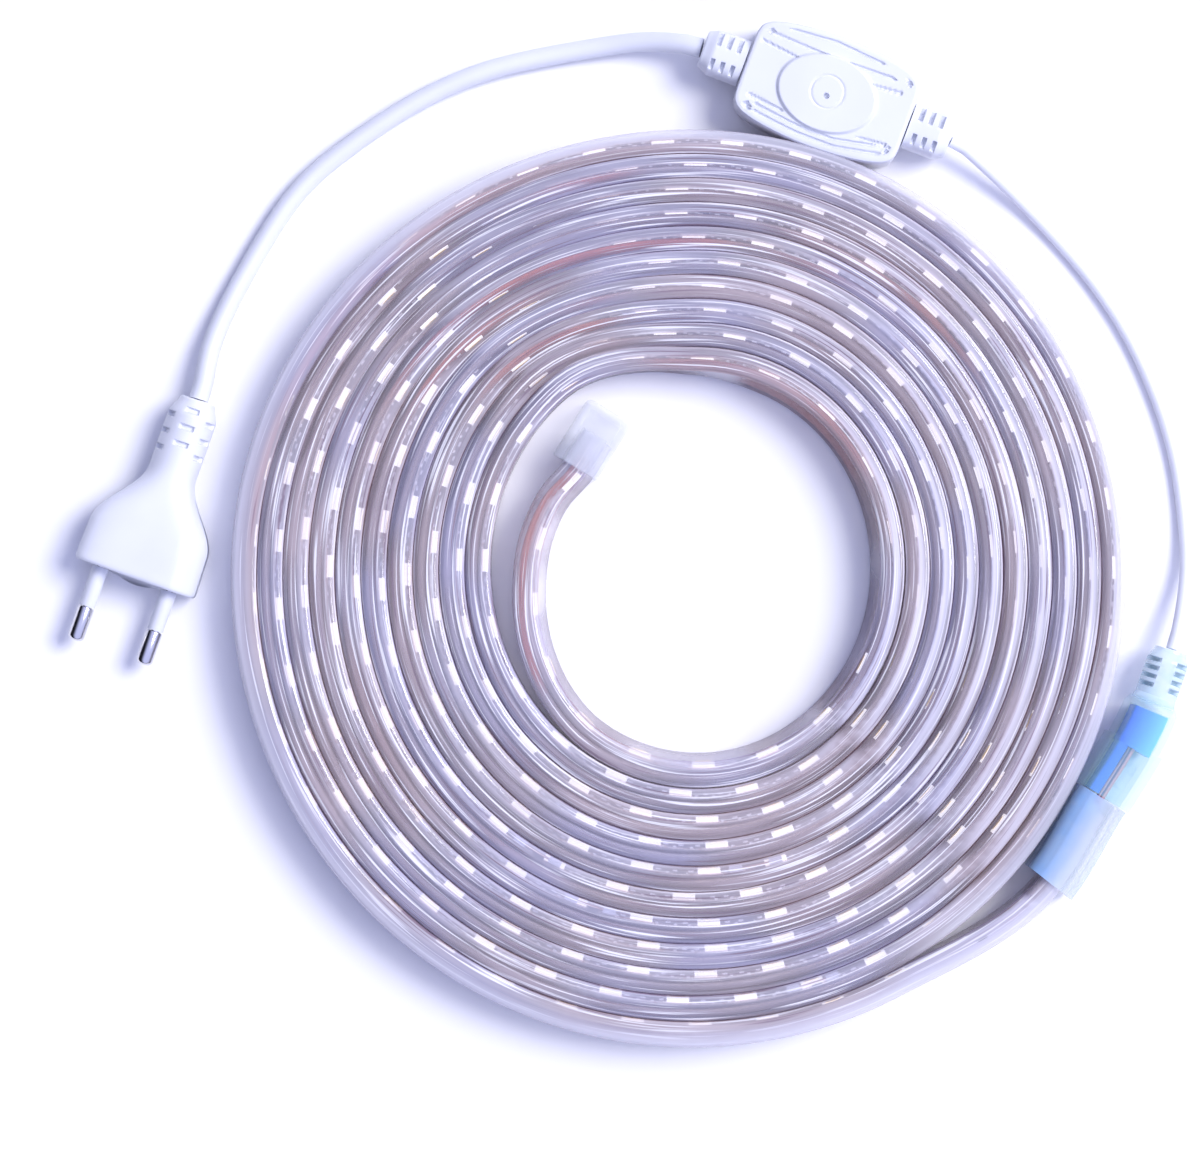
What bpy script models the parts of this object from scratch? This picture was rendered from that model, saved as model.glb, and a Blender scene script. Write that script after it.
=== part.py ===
"""A mains LED strip light: one long clear strip wound as a flat coil, with its power lead.

The strip stands on its edge. Its inner end carries a clear end cap, and its outer end is pushed
into a power connector. A thin cord runs from the connector to an in-line rectifier box, and a
thicker one from the box to a two-pin plug. Everything lies on the plane Z = 0.
"""

import math

import bmesh
import bpy
import numpy as np
from mathutils import Vector

# Fit between pieces that touch or sit inside one another
GAP = 0.0003
# How far a cutter runs past the face that it starts from
CUT_PAST = 0.0012

# The strip's own section, and how closely its turns lie
STRIP_HEIGHT = 0.014
STRIP_THICKNESS = 0.0060
STRIP_EDGE_WIDTH = 0.0013
STRIP_EDGE_DEPTH = 0.0014
TURN_CLEARANCE = 0.0002

# The full turns of the coil
RING_TURNS = 9
BORE_RADIUS = 0.0499
RING_SEGMENTS = 64
BORE_DRIFT_X = 0.0029
BORE_DRIFT_Y = 0.0030

# The free turns at both ends of the strip
STRIP_STEP = 0.009
LOOSE_TURN_REST = 0.0001
OUTER_TURN_START = -6
OUTER_TURN_END = 298
OUTER_LIFT_START = 235
INNER_TURN_START = 484
INNER_TURN_RAMP = 42
INNER_TURN_END = 232
TURN_ANGLE_STEP = 6

# The clear end cap, and the way to its mouth: degrees about the bore's middle, distance in from the bore
CAP_LENGTH = 0.0160
CAP_SIDE_WALL = 0.0028
CAP_TOP_WALL = 0.0012
CAP_CORNER = 0.0020
CAP_INSERTION = 0.0090
CAP_TAIL_PATH = [
    (-162.32, 0.00692),
    (-177.16, 0.00850),
    (170.90, 0.00914),
    (159.99, 0.00972),
    (150.03, 0.01036),
]
CAP_MOUTH = (139.52, 0.01131)
CAP_HEADING = 58.0

# The power connector and the way through it: degrees about the coil's middle, distance off the full turns
CONNECTOR_LENGTH = 0.0636
CONNECTOR_CORNER = 0.0022
CONNECTOR_PATH = [
    (-39.89, 0.00775),
    (-29.24, 0.00679),
    (-18.64, 0.00960),
    (-12.14, 0.01147),
    (-7.73, 0.01283),
]
SLEEVE_LENGTH = 0.0240
SLEEVE_SIDE_WALL = 0.0031
SLEEVE_TOP_WALL = 0.0012
STRIP_INSERTION = 0.0205
BODY_RIM_LENGTH = 0.0150
BODY_RIM_WALL = 0.0025
BODY_SIDE_WALL = 0.0016
BODY_TOP_WALL = 0.0015
BODY_LENGTH = 0.0260
SHOULDER_WALL = 0.0012
SHOULDER_CORNER = 0.0029
NECK_WIDTH = 0.0100
NECK_CORNER = 0.0045
NECK_TAPER = 0.0030
NECK_END_WIDTH = 0.0078
POCKET_WIDTH = 0.0092
POCKET_HEIGHT = 0.0130
POCKET_DEPTH = 0.0240
POCKET_CORNER = 0.0008
CORE_LENGTH = 0.0100
CORE_CORNER = 0.0006
TONGUE_LENGTH = 0.0135
TONGUE_WIDTH = 0.0026
TONGUE_CORNER = 0.0005
TONGUE_STEP = 0.0003
CONTACT_RADIUS = 0.0006
CONTACT_SPREAD = 0.0088
CONTACT_LENGTH = 0.0190
CONTACT_IN_CORE = 0.0030

# Slotted strain reliefs, with the bare margin that each keeps at both ends
SLOT_WIDTH = 0.0011
SLOT_DEPTH = 0.0011
SLOT_ROWS = 3
CONNECTOR_SLOT_MARGIN = 0.0026
BOX_SLOT_MARGIN = 0.0021
PLUG_SLOT_MARGIN = 0.0026

# The rectifier box, its middle placed by degrees about the coil's middle and distance off the full turns
BOX_PLACE = (73.83, 0.01731)
BOX_TURN = -20.5
BOX_LENGTH = 0.0417
BOX_END_WIDTH = 0.0225
BOX_BULGE = 0.0026
BOX_HEIGHT = 0.0150
BOX_CORNER = 0.0028
BOX_EDGE = 0.0008
BOX_SIDE_POINTS = 9
BOX_RELIEF_LENGTH = 0.0106
BOX_RELIEF_RADIUS = 0.0056
BOX_RELIEF_CORNER = 0.0026
BOX_RELIEF_TAPER = 0.0027
BOX_RELIEF_END_RADIUS = 0.0045
OVAL_LENGTH = 0.0250
OVAL_WIDTH = 0.0188
OVAL_RISE = 0.0008
POST_RADIUS = 0.0009
POST_DEPTH = 0.0012
POST_INSET = 0.0026
LAMP_HOLE_RADIUS = 0.0007

# The plug, its face placed as the box is, and its sizes from the face back to the cord
PLUG_PLACE = (179.37, 0.02696)
PLUG_TURN = 19.6
PLUG_BODY_LENGTH = 0.0300
PLUG_FACE_WIDTH = 0.0305
PLUG_FACE_CORNER = 0.0036
PLUG_CORNER_GROWTH = 0.1
PLUG_SIDE_DRAFT = 0.0008
PLUG_SHOULDER_LENGTH = 0.0165
PLUG_SHOULDER_MARGIN = 0.0030
PLUG_SLOPE_LENGTH = 0.0150
PLUG_SLOPE_MARGIN = 0.0015
PLUG_STATIONS = 10
PLUG_THICKNESS = 0.0137
PLUG_NECK_RADIUS = 0.0060
PLUG_RELIEF_LENGTH = 0.0155
PLUG_RELIEF_END_RADIUS = 0.0044
PIN_RADIUS = 0.0020
PIN_LENGTH = 0.0190
PIN_SPREAD = 0.0175
PIN_NOSE_RADIUS = 0.0012
PIN_NOSE_LENGTH = 0.0008
PIN_SLEEVE_WALL = 0.0005
PIN_ROOT_DEPTH = 0.0030
PIN_SLEEVE_LENGTH = 0.0100

# The two cords, each from the box outwards
PLUG_CORD_DIAMETER = 0.0048
PLUG_CORD_POINTS = [
    (0.0004, 0.1322, 0.0068),
    (-0.0068, 0.1328, 0.0052),
    (-0.0164, 0.1320, 0.0036),
    (-0.0309, 0.1296, 0.0026),
    (-0.0454, 0.1262, 0.0025),
    (-0.0620, 0.1191, 0.0025),
    (-0.0786, 0.1084, 0.0025),
    (-0.0911, 0.0977, 0.0025),
    (-0.1010, 0.0834, 0.0027),
    (-0.1092, 0.0682, 0.0036),
    (-0.1137, 0.0555, 0.0058),
]
STRIP_CORD_DIAMETER = 0.0028
STRIP_CORD_POINTS = [
    (0.0700, 0.1061, 0.0068),
    (0.0770, 0.1000, 0.0045),
    (0.0837, 0.0937, 0.0026),
    (0.0905, 0.0867, 0.0016),
    (0.1003, 0.0753, 0.0015),
    (0.1090, 0.0622, 0.0015),
    (0.1150, 0.0495, 0.0015),
    (0.1200, 0.0345, 0.0015),
    (0.1226, 0.0181, 0.0017),
    (0.1231, 0.0068, 0.0031),
    (0.1219, -0.0030, 0.0060),
]
CORD_POINT_SPACING = 2.2
CORD_STRAIGHT_END = 0.0020
HEADING_REACH = 0.0005


def on_circle(middle, radius, degrees):
    angle = math.radians(degrees)
    return (middle[0] + radius * math.cos(angle), middle[1] + radius * math.sin(angle))


# Sizes that follow from the ones above
turn_pitch = STRIP_THICKNESS + TURN_CLEARANCE
ring_radius = BORE_RADIUS + RING_TURNS * turn_pitch
inner_turn_radius = BORE_RADIUS - turn_pitch
coil_centre = np.array([turn_pitch / 4, turn_pitch / 4])
bore_centre = coil_centre + np.array([BORE_DRIFT_X, BORE_DRIFT_Y])
strip_bore = (STRIP_THICKNESS + 2 * GAP, STRIP_HEIGHT + 2 * GAP)
cap_width = strip_bore[0] + 2 * CAP_SIDE_WALL
cap_height = strip_bore[1] + 2 * CAP_TOP_WALL
sleeve_width = strip_bore[0] + 2 * SLEEVE_SIDE_WALL
connector_height = strip_bore[1] + 2 * SLEEVE_TOP_WALL
connector_middle = connector_height / 2
core_start = SLEEVE_LENGTH + POCKET_DEPTH - CORE_LENGTH
contact_start = core_start + CONTACT_IN_CORE - CONTACT_LENGTH
box_centre = on_circle(coil_centre, ring_radius + BOX_PLACE[1], BOX_PLACE[0])
box_middle = BOX_HEIGHT / 2
plug_face = on_circle(coil_centre, ring_radius + PLUG_PLACE[1], PLUG_PLACE[0])
plug_middle = PLUG_THICKNESS / 2
pin_core_radius = PIN_RADIUS - PIN_SLEEVE_WALL - GAP


class Route:
    """A smooth curve through points, read by the distance along it in metres."""

    def __init__(self, points):
        dense = natural_cubic(np.array(points, float))
        steps = np.linalg.norm(np.diff(dense, axis=0), axis=1)
        self.dense = dense
        self.along = np.concatenate([[0.0], np.cumsum(steps)])
        self.length = float(self.along[-1])

    def point(self, distance):
        values = [np.interp(distance, self.along, self.dense[:, k]) for k in range(3)]
        return Vector(values)

    def heading(self, distance):
        """The level direction of the curve, as a unit vector."""
        ahead = min(distance + HEADING_REACH, self.length)
        behind = max(distance - HEADING_REACH, 0.0)
        step = self.point(ahead) - self.point(behind)
        return Vector((step.x, step.y, 0)).normalized()

    def even_points(self, spacing, straight):
        """Points about `spacing` apart, with a short straight piece at each end."""
        count = max(2, round(self.length / spacing) + 1)
        middle = np.linspace(0, self.length, count)[1:-1]
        distances = [0, straight, *middle, self.length - straight, self.length]
        return [self.point(d) for d in distances]


def natural_cubic(points, per_span=16):
    """Points on the natural cubic spline through the given ones, with chord length as parameter."""
    chord = np.linalg.norm(np.diff(points, axis=0), axis=1)
    count = len(points)
    matrix = np.eye(count)
    target = np.zeros((count, 3))
    for i in range(1, count - 1):
        before, after = chord[i - 1], chord[i]
        matrix[i, i - 1 : i + 2] = before, 2 * (before + after), after
        rise = (points[i + 1] - points[i]) / after - (points[i] - points[i - 1]) / before
        target[i] = 6 * rise
    bend = np.linalg.solve(matrix, target)
    found = [points[:1]]
    for i in range(count - 1):
        h = chord[i]
        t = np.linspace(0, h, per_span + 1)[1:, None]
        slope = (points[i + 1] - points[i]) / h - h * (2 * bend[i] + bend[i + 1]) / 6
        cube = (bend[i + 1] - bend[i]) / (6 * h)
        found.append(points[i] + slope * t + bend[i] / 2 * t**2 + cube * t**3)
    return np.concatenate(found)


def smooth_step(value):
    """0 below 0, 1 above 1, and an S-shaped rise between."""
    x = min(max(value, 0.0), 1.0)
    return x * x * (3 - 2 * x)


def clear_scene():
    for thing in list(bpy.data.objects):
        bpy.data.objects.remove(thing)


def make_material(name, colour, roughness, metallic=0.0, alpha=1.0):
    material = bpy.data.materials.new(name)
    material.use_nodes = True
    shader = material.node_tree.nodes["Principled BSDF"]
    shader.inputs["Base Color"].default_value = (*colour, 1)
    shader.inputs["Roughness"].default_value = roughness
    shader.inputs["Metallic"].default_value = metallic
    shader.inputs["Alpha"].default_value = alpha
    material.diffuse_color = (*colour, alpha)
    return material


def add_object(name, mesh, material, parent=None):
    thing = bpy.data.objects.new(name, mesh)
    if material is not None:
        mesh.materials.append(material)
    bpy.context.scene.collection.objects.link(thing)
    thing.parent = parent
    return thing


def add_frame(name, place, turn):
    """An empty that holds the pieces of one assembly, turned by `turn` degrees about Z."""
    frame = bpy.data.objects.new(name, None)
    frame.location = (*place, 0)
    frame.rotation_euler = (0, 0, math.radians(turn))
    bpy.context.scene.collection.objects.link(frame)
    return frame


def mesh_of(name, points, faces, smooth_angle=35):
    """A mesh with its faces turned outwards, smooth across edges under the given angle."""
    shape = bmesh.new()
    corners = [shape.verts.new(p) for p in points]
    for face in faces:
        shape.faces.new([corners[i] for i in face])
    bmesh.ops.recalc_face_normals(shape, faces=shape.faces)
    mesh = bpy.data.meshes.new(name)
    shape.to_mesh(mesh)
    shape.free()
    mesh.shade_smooth()
    mesh.set_sharp_from_angle(angle=math.radians(smooth_angle))
    return mesh


def skin(rings, closed_ring=False):
    """Points and faces of a solid through equal rings of points, capped unless it closes on itself."""
    size = len(rings[0])
    points = [p for ring in rings for p in ring]
    faces = []
    spans = len(rings) if closed_ring else len(rings) - 1
    for i in range(spans):
        here, there = i * size, (i + 1) % len(rings) * size
        for k in range(size):
            m = (k + 1) % size
            faces.append((here + k, here + m, there + m, there + k))
    if not closed_ring:
        faces.append(tuple(reversed(range(size))))
        faces.append(tuple(range(len(points) - size, len(points))))
    return points, faces


def rounded_section(width, height, corner, steps=2, side=0.0, up=0.0):
    """A rectangle with round corners, as (side, up) pairs round its middle."""
    corner = min(corner, width / 2 - 1e-5, height / 2 - 1e-5)
    centres = [(1, 1), (-1, 1), (-1, -1), (1, -1)]
    section = []
    for quarter, (sx, sy) in enumerate(centres):
        for k in range(steps + 1):
            angle = math.radians(90 * (quarter + k / steps))
            x = sx * (width / 2 - corner) + corner * math.cos(angle)
            y = sy * (height / 2 - corner) + corner * math.sin(angle)
            section.append((side + x, up + y))
    return section


def round_section(radius, steps=2, side=0.0, up=0.0):
    """A circle with as many points as rounded_section has."""
    count = 4 * (steps + 1)
    turn = 360 / count
    angles = [math.radians(turn * (k + 0.5)) for k in range(count)]
    return [(side + radius * math.cos(a), up + radius * math.sin(a)) for a in angles]


def strip_section():
    """The strip's section, a tall rectangle with its four edges cut back."""
    half, top = STRIP_THICKNESS / 2, STRIP_HEIGHT / 2
    inner_half, inner_top = half - STRIP_EDGE_WIDTH, top - STRIP_EDGE_DEPTH
    quarter = [(half, inner_top), (inner_half, top)]
    left = [(-x, y) for x, y in reversed(quarter)]
    lower = [(-x, -y) for x, y in quarter + left]
    return quarter + left + lower


def along_route(route, stations):
    """Rings of points for sections set upright across a route, at (distance, section) stations."""
    rings = []
    for distance, section in stations:
        middle, heading = route.point(distance), route.heading(distance)
        side = Vector((heading.y, -heading.x, 0))
        rings.append([middle + side * x + Vector((0, 0, y)) for x, y in section])
    return rings


def along_axis(stations):
    """Rings of points for sections across the local Y axis, at (distance, section) stations."""
    return [[(x, distance, z) for x, z in section] for distance, section in stations]


def solid(name, rings, material, parent=None, closed_ring=False, smooth_angle=35):
    points, faces = skin(rings, closed_ring)
    return add_object(name, mesh_of(name, points, faces, smooth_angle), material, parent)


def tool(name, rings, parent=None):
    """A hidden solid that cuts or adds to another."""
    shape = solid(name, rings, None, parent)
    shape.hide_render = True
    shape.display_type = "WIRE"
    return shape


def combine(target, others, operation):
    for other in others:
        step = target.modifiers.new(operation.lower() + "_" + other.name, "BOOLEAN")
        step.operation = operation
        step.solver = "EXACT"
        step.object = other


def slot_tools(name, frame_rings, start, length, margin, radius, parent=None):
    """Cutters for a strain relief: rows of slots on its top and bottom, and between them on its sides.

    The rows share out the relief's length between its margins. frame_rings turns (distance, section)
    stations into rings, and radius gives the relief's own radius at a distance.
    """
    pitch = (length - 2 * margin) / (SLOT_ROWS - 0.5)
    cutters = []
    for row in range(2 * SLOT_ROWS):
        middle = start + margin + row * pitch / 2
        reach = radius(middle)
        for sign in (-1, 1):
            far = sign * (reach + SLOT_DEPTH / 2)
            on_top = row % 2 == 0
            size = (reach, 3 * SLOT_DEPTH) if on_top else (3 * SLOT_DEPTH, reach)
            place = (0.0, far) if on_top else (far, 0.0)
            section = rounded_section(*size, GAP, 1, *place)
            ends = (middle - SLOT_WIDTH / 2, middle + SLOT_WIDTH / 2)
            rings = frame_rings([(end, section) for end in ends])
            cutters.append(tool(f"{name}_slot_{len(cutters)}", rings, parent))
    return cutters


def ring_profile():
    """The coil's section from its bore outwards, with one groove at each joint between turns."""
    top = []
    for turn in range(RING_TURNS):
        start = BORE_RADIUS + turn * turn_pitch
        top.append((start, STRIP_HEIGHT - STRIP_EDGE_DEPTH))
        top.append((start + STRIP_EDGE_WIDTH, STRIP_HEIGHT))
        top.append((start + turn_pitch - STRIP_EDGE_WIDTH, STRIP_HEIGHT))
    top.append((ring_radius, STRIP_HEIGHT - STRIP_EDGE_DEPTH))
    return top + [(r, STRIP_HEIGHT - z) for r, z in reversed(top)]


def make_ring(material):
    """The full turns: the profile turned about Z, its inner turns a little off the outer ones' middle."""
    rings = []
    for i in range(RING_SEGMENTS):
        degrees = 360 * i / RING_SEGMENTS
        ring = []
        for radius, height in ring_profile():
            share = (ring_radius - radius) / (ring_radius - BORE_RADIUS)
            middle = coil_centre + share * (bore_centre - coil_centre)
            ring.append((*on_circle(middle, radius, degrees), height))
        rings.append(ring)
    return solid("strip_coil", rings, material, closed_ring=True)


def outer_route():
    """The outermost turn, one pitch wider each round, and then on through the power connector."""
    points = []
    rest = STRIP_HEIGHT / 2 + LOOSE_TURN_REST
    for degrees in range(OUTER_TURN_START, OUTER_TURN_END + 1, TURN_ANGLE_STEP):
        radius = ring_radius + turn_pitch * degrees / 360 - STRIP_THICKNESS / 2
        share = (degrees - OUTER_LIFT_START) / (OUTER_TURN_END - OUTER_LIFT_START)
        height = rest + (connector_middle - rest) * smooth_step(share)
        points.append((*on_circle(coil_centre, radius, degrees), height))
    for degrees, off in CONNECTOR_PATH:
        points.append((*on_circle(coil_centre, ring_radius + off, degrees), connector_middle))
    return Route(points)


def inner_route():
    """The innermost turn, from where it leaves the full turns to its free end in the end cap."""
    points = []
    rest = STRIP_HEIGHT / 2 + LOOSE_TURN_REST
    cap_middle = cap_height / 2
    for degrees in range(INNER_TURN_START, INNER_TURN_END - 1, -TURN_ANGLE_STEP):
        outward = smooth_step((degrees - INNER_TURN_START + INNER_TURN_RAMP) / INNER_TURN_RAMP)
        radius = inner_turn_radius + turn_pitch * outward + STRIP_THICKNESS / 2
        points.append((*on_circle(bore_centre, radius, degrees), rest))
    free = [*CAP_TAIL_PATH, CAP_MOUTH]
    for number, (degrees, inward) in enumerate(free):
        height = rest + (cap_middle - rest) * smooth_step((number + 1) / len(free))
        points.append((*on_circle(bore_centre, BORE_RADIUS - inward, degrees), height))
    mouth = points[-1]
    for distance in (CAP_INSERTION / 2, CAP_INSERTION):
        points.append((*on_circle(mouth, distance, CAP_HEADING), cap_middle))
    return Route(points)


def strip_rings(route, end):
    """The strip's section carried along a route from its start to the given distance."""
    count = max(2, round(end / STRIP_STEP))
    section = strip_section()
    return along_route(route, [(d, section) for d in np.linspace(0, end, count + 1)])


def make_strip(outer, inner, mouth, material):
    """The strip: full turns, both free turns, and the two holes that the contacts enter."""
    coil = make_ring(material)
    end = mouth + STRIP_INSERTION
    outer_turn = tool("outer_turn", strip_rings(outer, end))
    inner_turn = tool("inner_turn", strip_rings(inner, inner.length))
    combine(coil, [outer_turn, inner_turn], "UNION")
    tip = mouth + contact_start
    holes = []
    for up in (-CONTACT_SPREAD / 2, CONTACT_SPREAD / 2):
        section = round_section(CONTACT_RADIUS + GAP, 2, 0, up)
        rings = along_route(outer, [(tip - GAP, section), (end + GAP, section)])
        holes.append(tool(f"contact_hole_{len(holes)}", rings))
    combine(coil, holes, "DIFFERENCE")
    return coil


def make_end_cap(inner, material):
    """The clear cap: a round-edged box with a pocket that the strip's end sits in."""
    mouth = inner.length - CAP_INSERTION
    heading = turned(CAP_HEADING)
    side = Vector((heading.y, -heading.x, 0))
    middle = inner.point(mouth)

    def rings(stations):
        placed = []
        for distance, section in stations:
            base = middle + heading * distance
            placed.append([base + side * x + Vector((0, 0, y)) for x, y in section])
        return placed

    full = rounded_section(cap_width, cap_height, CAP_CORNER)
    edge = CAP_CORNER / 2
    inset = rounded_section(cap_width - edge, cap_height - edge, CAP_CORNER - edge / 2)
    stations = [(0, full), (CAP_LENGTH - edge, full), (CAP_LENGTH, inset)]
    cap = solid("end_cap", rings(stations), material)
    bore = rounded_section(*strip_bore, STRIP_EDGE_WIDTH, 1)
    pocket = tool("cap_pocket", rings([(-CUT_PAST, bore), (CAP_INSERTION + GAP, bore)]))
    combine(cap, [pocket], "DIFFERENCE")
    return cap


def make_sleeve(outer, mouth, material):
    """The clear sleeve over the strip's outer end."""
    section = rounded_section(sleeve_width, connector_height, CONNECTOR_CORNER)
    ends = (mouth, mouth + SLEEVE_LENGTH)
    distances = np.linspace(*ends, 4)
    sleeve = solid("connector_sleeve", along_route(outer, [(d, section) for d in distances]), material)
    bore = rounded_section(*strip_bore, STRIP_EDGE_WIDTH, 1)
    reach = [mouth - CUT_PAST, *distances[1:-1], ends[1] + CUT_PAST]
    hollow = tool("sleeve_bore", along_route(outer, [(d, bore) for d in reach]))
    combine(sleeve, [hollow], "DIFFERENCE")
    return sleeve


def make_connector_body(outer, mouth, material):
    """The moulded body: a rim behind the sleeve, a taper to the neck, and the strain relief."""
    start = mouth + SLEEVE_LENGTH + GAP
    rim_end = start + BODY_RIM_LENGTH
    neck = start + BODY_LENGTH
    relief_start = neck + NECK_TAPER / 2
    end = outer.length
    rim = rounded_section(POCKET_WIDTH + 2 * BODY_RIM_WALL, connector_height, CONNECTOR_CORNER)
    body_size = (POCKET_WIDTH + 2 * BODY_SIDE_WALL, POCKET_HEIGHT + 2 * BODY_TOP_WALL)
    body = rounded_section(*body_size, CONNECTOR_CORNER)
    shoulder = rounded_section(body_size[0], POCKET_HEIGHT + 2 * SHOULDER_WALL, SHOULDER_CORNER)
    neck_section = rounded_section(NECK_WIDTH, NECK_WIDTH, NECK_CORNER)
    neck_end = rounded_section(NECK_END_WIDTH, NECK_END_WIDTH, NECK_CORNER)
    stations = [
        (start, rim),
        ((start + rim_end) / 2, rim),
        (rim_end, rim),
        (rim_end, body),
        (neck - NECK_TAPER / 2, shoulder),
        (relief_start, neck_section),
        ((relief_start + end) / 2, neck_section),
        (end, neck_end),
    ]
    shell = solid("connector_body", along_route(outer, stations), material)
    section = rounded_section(POCKET_WIDTH, POCKET_HEIGHT, POCKET_CORNER, 1)
    reach = np.linspace(start - CUT_PAST, start + POCKET_DEPTH, 5)
    pocket = tool("connector_pocket", along_route(outer, [(d, section) for d in reach]))
    slots = slot_tools(
        "connector",
        lambda stations: along_route(outer, stations),
        relief_start,
        end - relief_start,
        CONNECTOR_SLOT_MARGIN,
        lambda distance: NECK_WIDTH / 2,
    )
    combine(shell, [pocket, *slots], "DIFFERENCE")
    return shell


def make_core(outer, mouth, material):
    """The coloured core that holds the contacts: a block, and a tongue beside them."""
    start = mouth + core_start
    end = start + CORE_LENGTH
    width = POCKET_WIDTH - 2 * GAP
    height = POCKET_HEIGHT - 2 * GAP
    shift = TONGUE_STEP - (width - TONGUE_WIDTH) / 2
    tongue = rounded_section(TONGUE_WIDTH, height - 2 * TONGUE_STEP, TONGUE_CORNER, 1, shift)
    block = rounded_section(width, height, CORE_CORNER, 1)
    stations = [
        (start - TONGUE_LENGTH, tongue),
        (start - TONGUE_LENGTH / 2, tongue),
        (start, tongue),
        (start, block),
        ((start + end) / 2, block),
        (end, block),
    ]
    core = solid("connector_core", along_route(outer, stations), material)
    holes = []
    for up in (-CONTACT_SPREAD / 2, CONTACT_SPREAD / 2):
        section = round_section(CONTACT_RADIUS + GAP, 2, 0, up)
        reach = (start - CUT_PAST, start + CONTACT_IN_CORE + GAP)
        holes.append(tool(f"core_hole_{len(holes)}", along_route(outer, [(d, section) for d in reach])))
    combine(core, holes, "DIFFERENCE")
    return core


def make_contacts(outer, mouth, material):
    """The two pins, one above the other, that enter the strip's conductors."""
    tip = mouth + contact_start
    distances = np.linspace(tip, tip + CONTACT_LENGTH, 6)
    for name, up in (("lower", -CONTACT_SPREAD / 2), ("upper", CONTACT_SPREAD / 2)):
        section = round_section(CONTACT_RADIUS, 2, 0, up)
        rings = along_route(outer, [(d, section) for d in distances])
        solid(f"connector_contact_{name}", rings, material)


def box_outline(inset):
    """The box's outline in plan: long sides that bulge, straight ends and round corners."""
    half_length = BOX_LENGTH / 2 - inset
    corner = BOX_CORNER - inset / 2
    straight = half_length - corner
    xs = np.linspace(-straight, straight, BOX_SIDE_POINTS)

    def half_width(x):
        return BOX_END_WIDTH / 2 - inset + BOX_BULGE * (1 - (x / straight) ** 2)

    upper = [(x, half_width(x)) for x in reversed(xs)]
    turned = []
    for k in (1, 2):
        angle = math.radians(90 + 30 * k)
        x = -straight + corner * math.cos(angle)
        y = half_width(straight) - corner + corner * math.sin(angle)
        turned.append((x, y))
    left_top = turned + [(-half_length, half_width(straight) - corner)]
    left_bottom = [(x, -y) for x, y in reversed(left_top)]
    lower = [(x, -y) for x, y in reversed(upper)]
    right_bottom = [(-x, y) for x, y in reversed(left_bottom)]
    right_top = [(-x, y) for x, y in reversed(left_top)]
    return upper + left_top + left_bottom + lower + right_bottom + right_top


def flat_rings(levels):
    """Rings of points for outlines lying level, at (height, outline) levels."""
    return [[(x, y, height) for x, y in outline] for height, outline in levels]


def disc(radius, x, y, count=12):
    angles = [2 * math.pi * k / count for k in range(count)]
    return [(x + radius * math.cos(a), y + radius * math.sin(a)) for a in angles]


def oval(length, width, count=28):
    angles = [2 * math.pi * k / count for k in range(count)]
    return [(length / 2 * math.cos(a), width / 2 * math.sin(a)) for a in angles]


def make_box(frame, material):
    """The rectifier's two half shells, the upper with a raised oval, four post holes and a lamp hole."""
    full, edge = box_outline(0), box_outline(BOX_EDGE)
    top = BOX_HEIGHT - OVAL_RISE
    split = box_middle
    solid(
        "rectifier_base",
        flat_rings([(0, edge), (BOX_EDGE, full), (split - GAP / 2, full)]),
        material,
        frame,
    )
    cover = solid(
        "rectifier_cover",
        flat_rings([(split + GAP / 2, full), (top - BOX_EDGE, full), (top, edge)]),
        material,
        frame,
    )
    low = top - BOX_EDGE
    wide = oval(OVAL_LENGTH, OVAL_WIDTH)
    narrow = oval(OVAL_LENGTH - OVAL_RISE, OVAL_WIDTH - OVAL_RISE)
    raised = tool("raised_oval", flat_rings([(low, wide), (top, wide), (BOX_HEIGHT, narrow)]), frame)
    combine(cover, [raised], "UNION")
    holes = []
    x = BOX_LENGTH / 2 - POST_INSET
    y = BOX_END_WIDTH / 2 - POST_INSET
    for sx in (-1, 1):
        for sy in (-1, 1):
            outline = disc(POST_RADIUS, sx * x, sy * y)
            levels = [(top - POST_DEPTH, outline), (top + POST_DEPTH, outline)]
            holes.append(tool(f"post_hole_{len(holes)}", flat_rings(levels), frame))
    outline = disc(LAMP_HOLE_RADIUS, 0, 0, 8)
    levels = [(top - POST_DEPTH, outline), (BOX_HEIGHT + POST_DEPTH, outline)]
    holes.append(tool("lamp_hole", flat_rings(levels), frame))
    combine(cover, holes, "DIFFERENCE")


def lifted(stations, height):
    """The same (distance, section) stations, their sections raised by the given height."""
    return [(d, [(x, z + height) for x, z in section]) for d, section in stations]


def make_box_relief(name, frame, sign, material):
    """A slotted bush at one end of the box, that the cord leaves through."""
    start = BOX_LENGTH / 2 + GAP
    end = start + BOX_RELIEF_LENGTH
    wide = rounded_section(2 * BOX_RELIEF_RADIUS, 2 * BOX_RELIEF_RADIUS, BOX_RELIEF_CORNER)
    narrow = rounded_section(2 * BOX_RELIEF_END_RADIUS, 2 * BOX_RELIEF_END_RADIUS, BOX_RELIEF_CORNER)

    def rings(stations):
        return [[(sign * d, x, z) for x, z in section] for d, section in lifted(stations, box_middle)]

    stations = [(start, wide), (end - BOX_RELIEF_TAPER, wide), (end, narrow)]
    relief = solid(name, rings(stations), material, frame)
    size = (start, BOX_RELIEF_LENGTH, BOX_SLOT_MARGIN)
    slots = slot_tools(name, rings, *size, lambda distance: BOX_RELIEF_RADIUS, frame)
    combine(relief, slots, "DIFFERENCE")
    return relief


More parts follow.
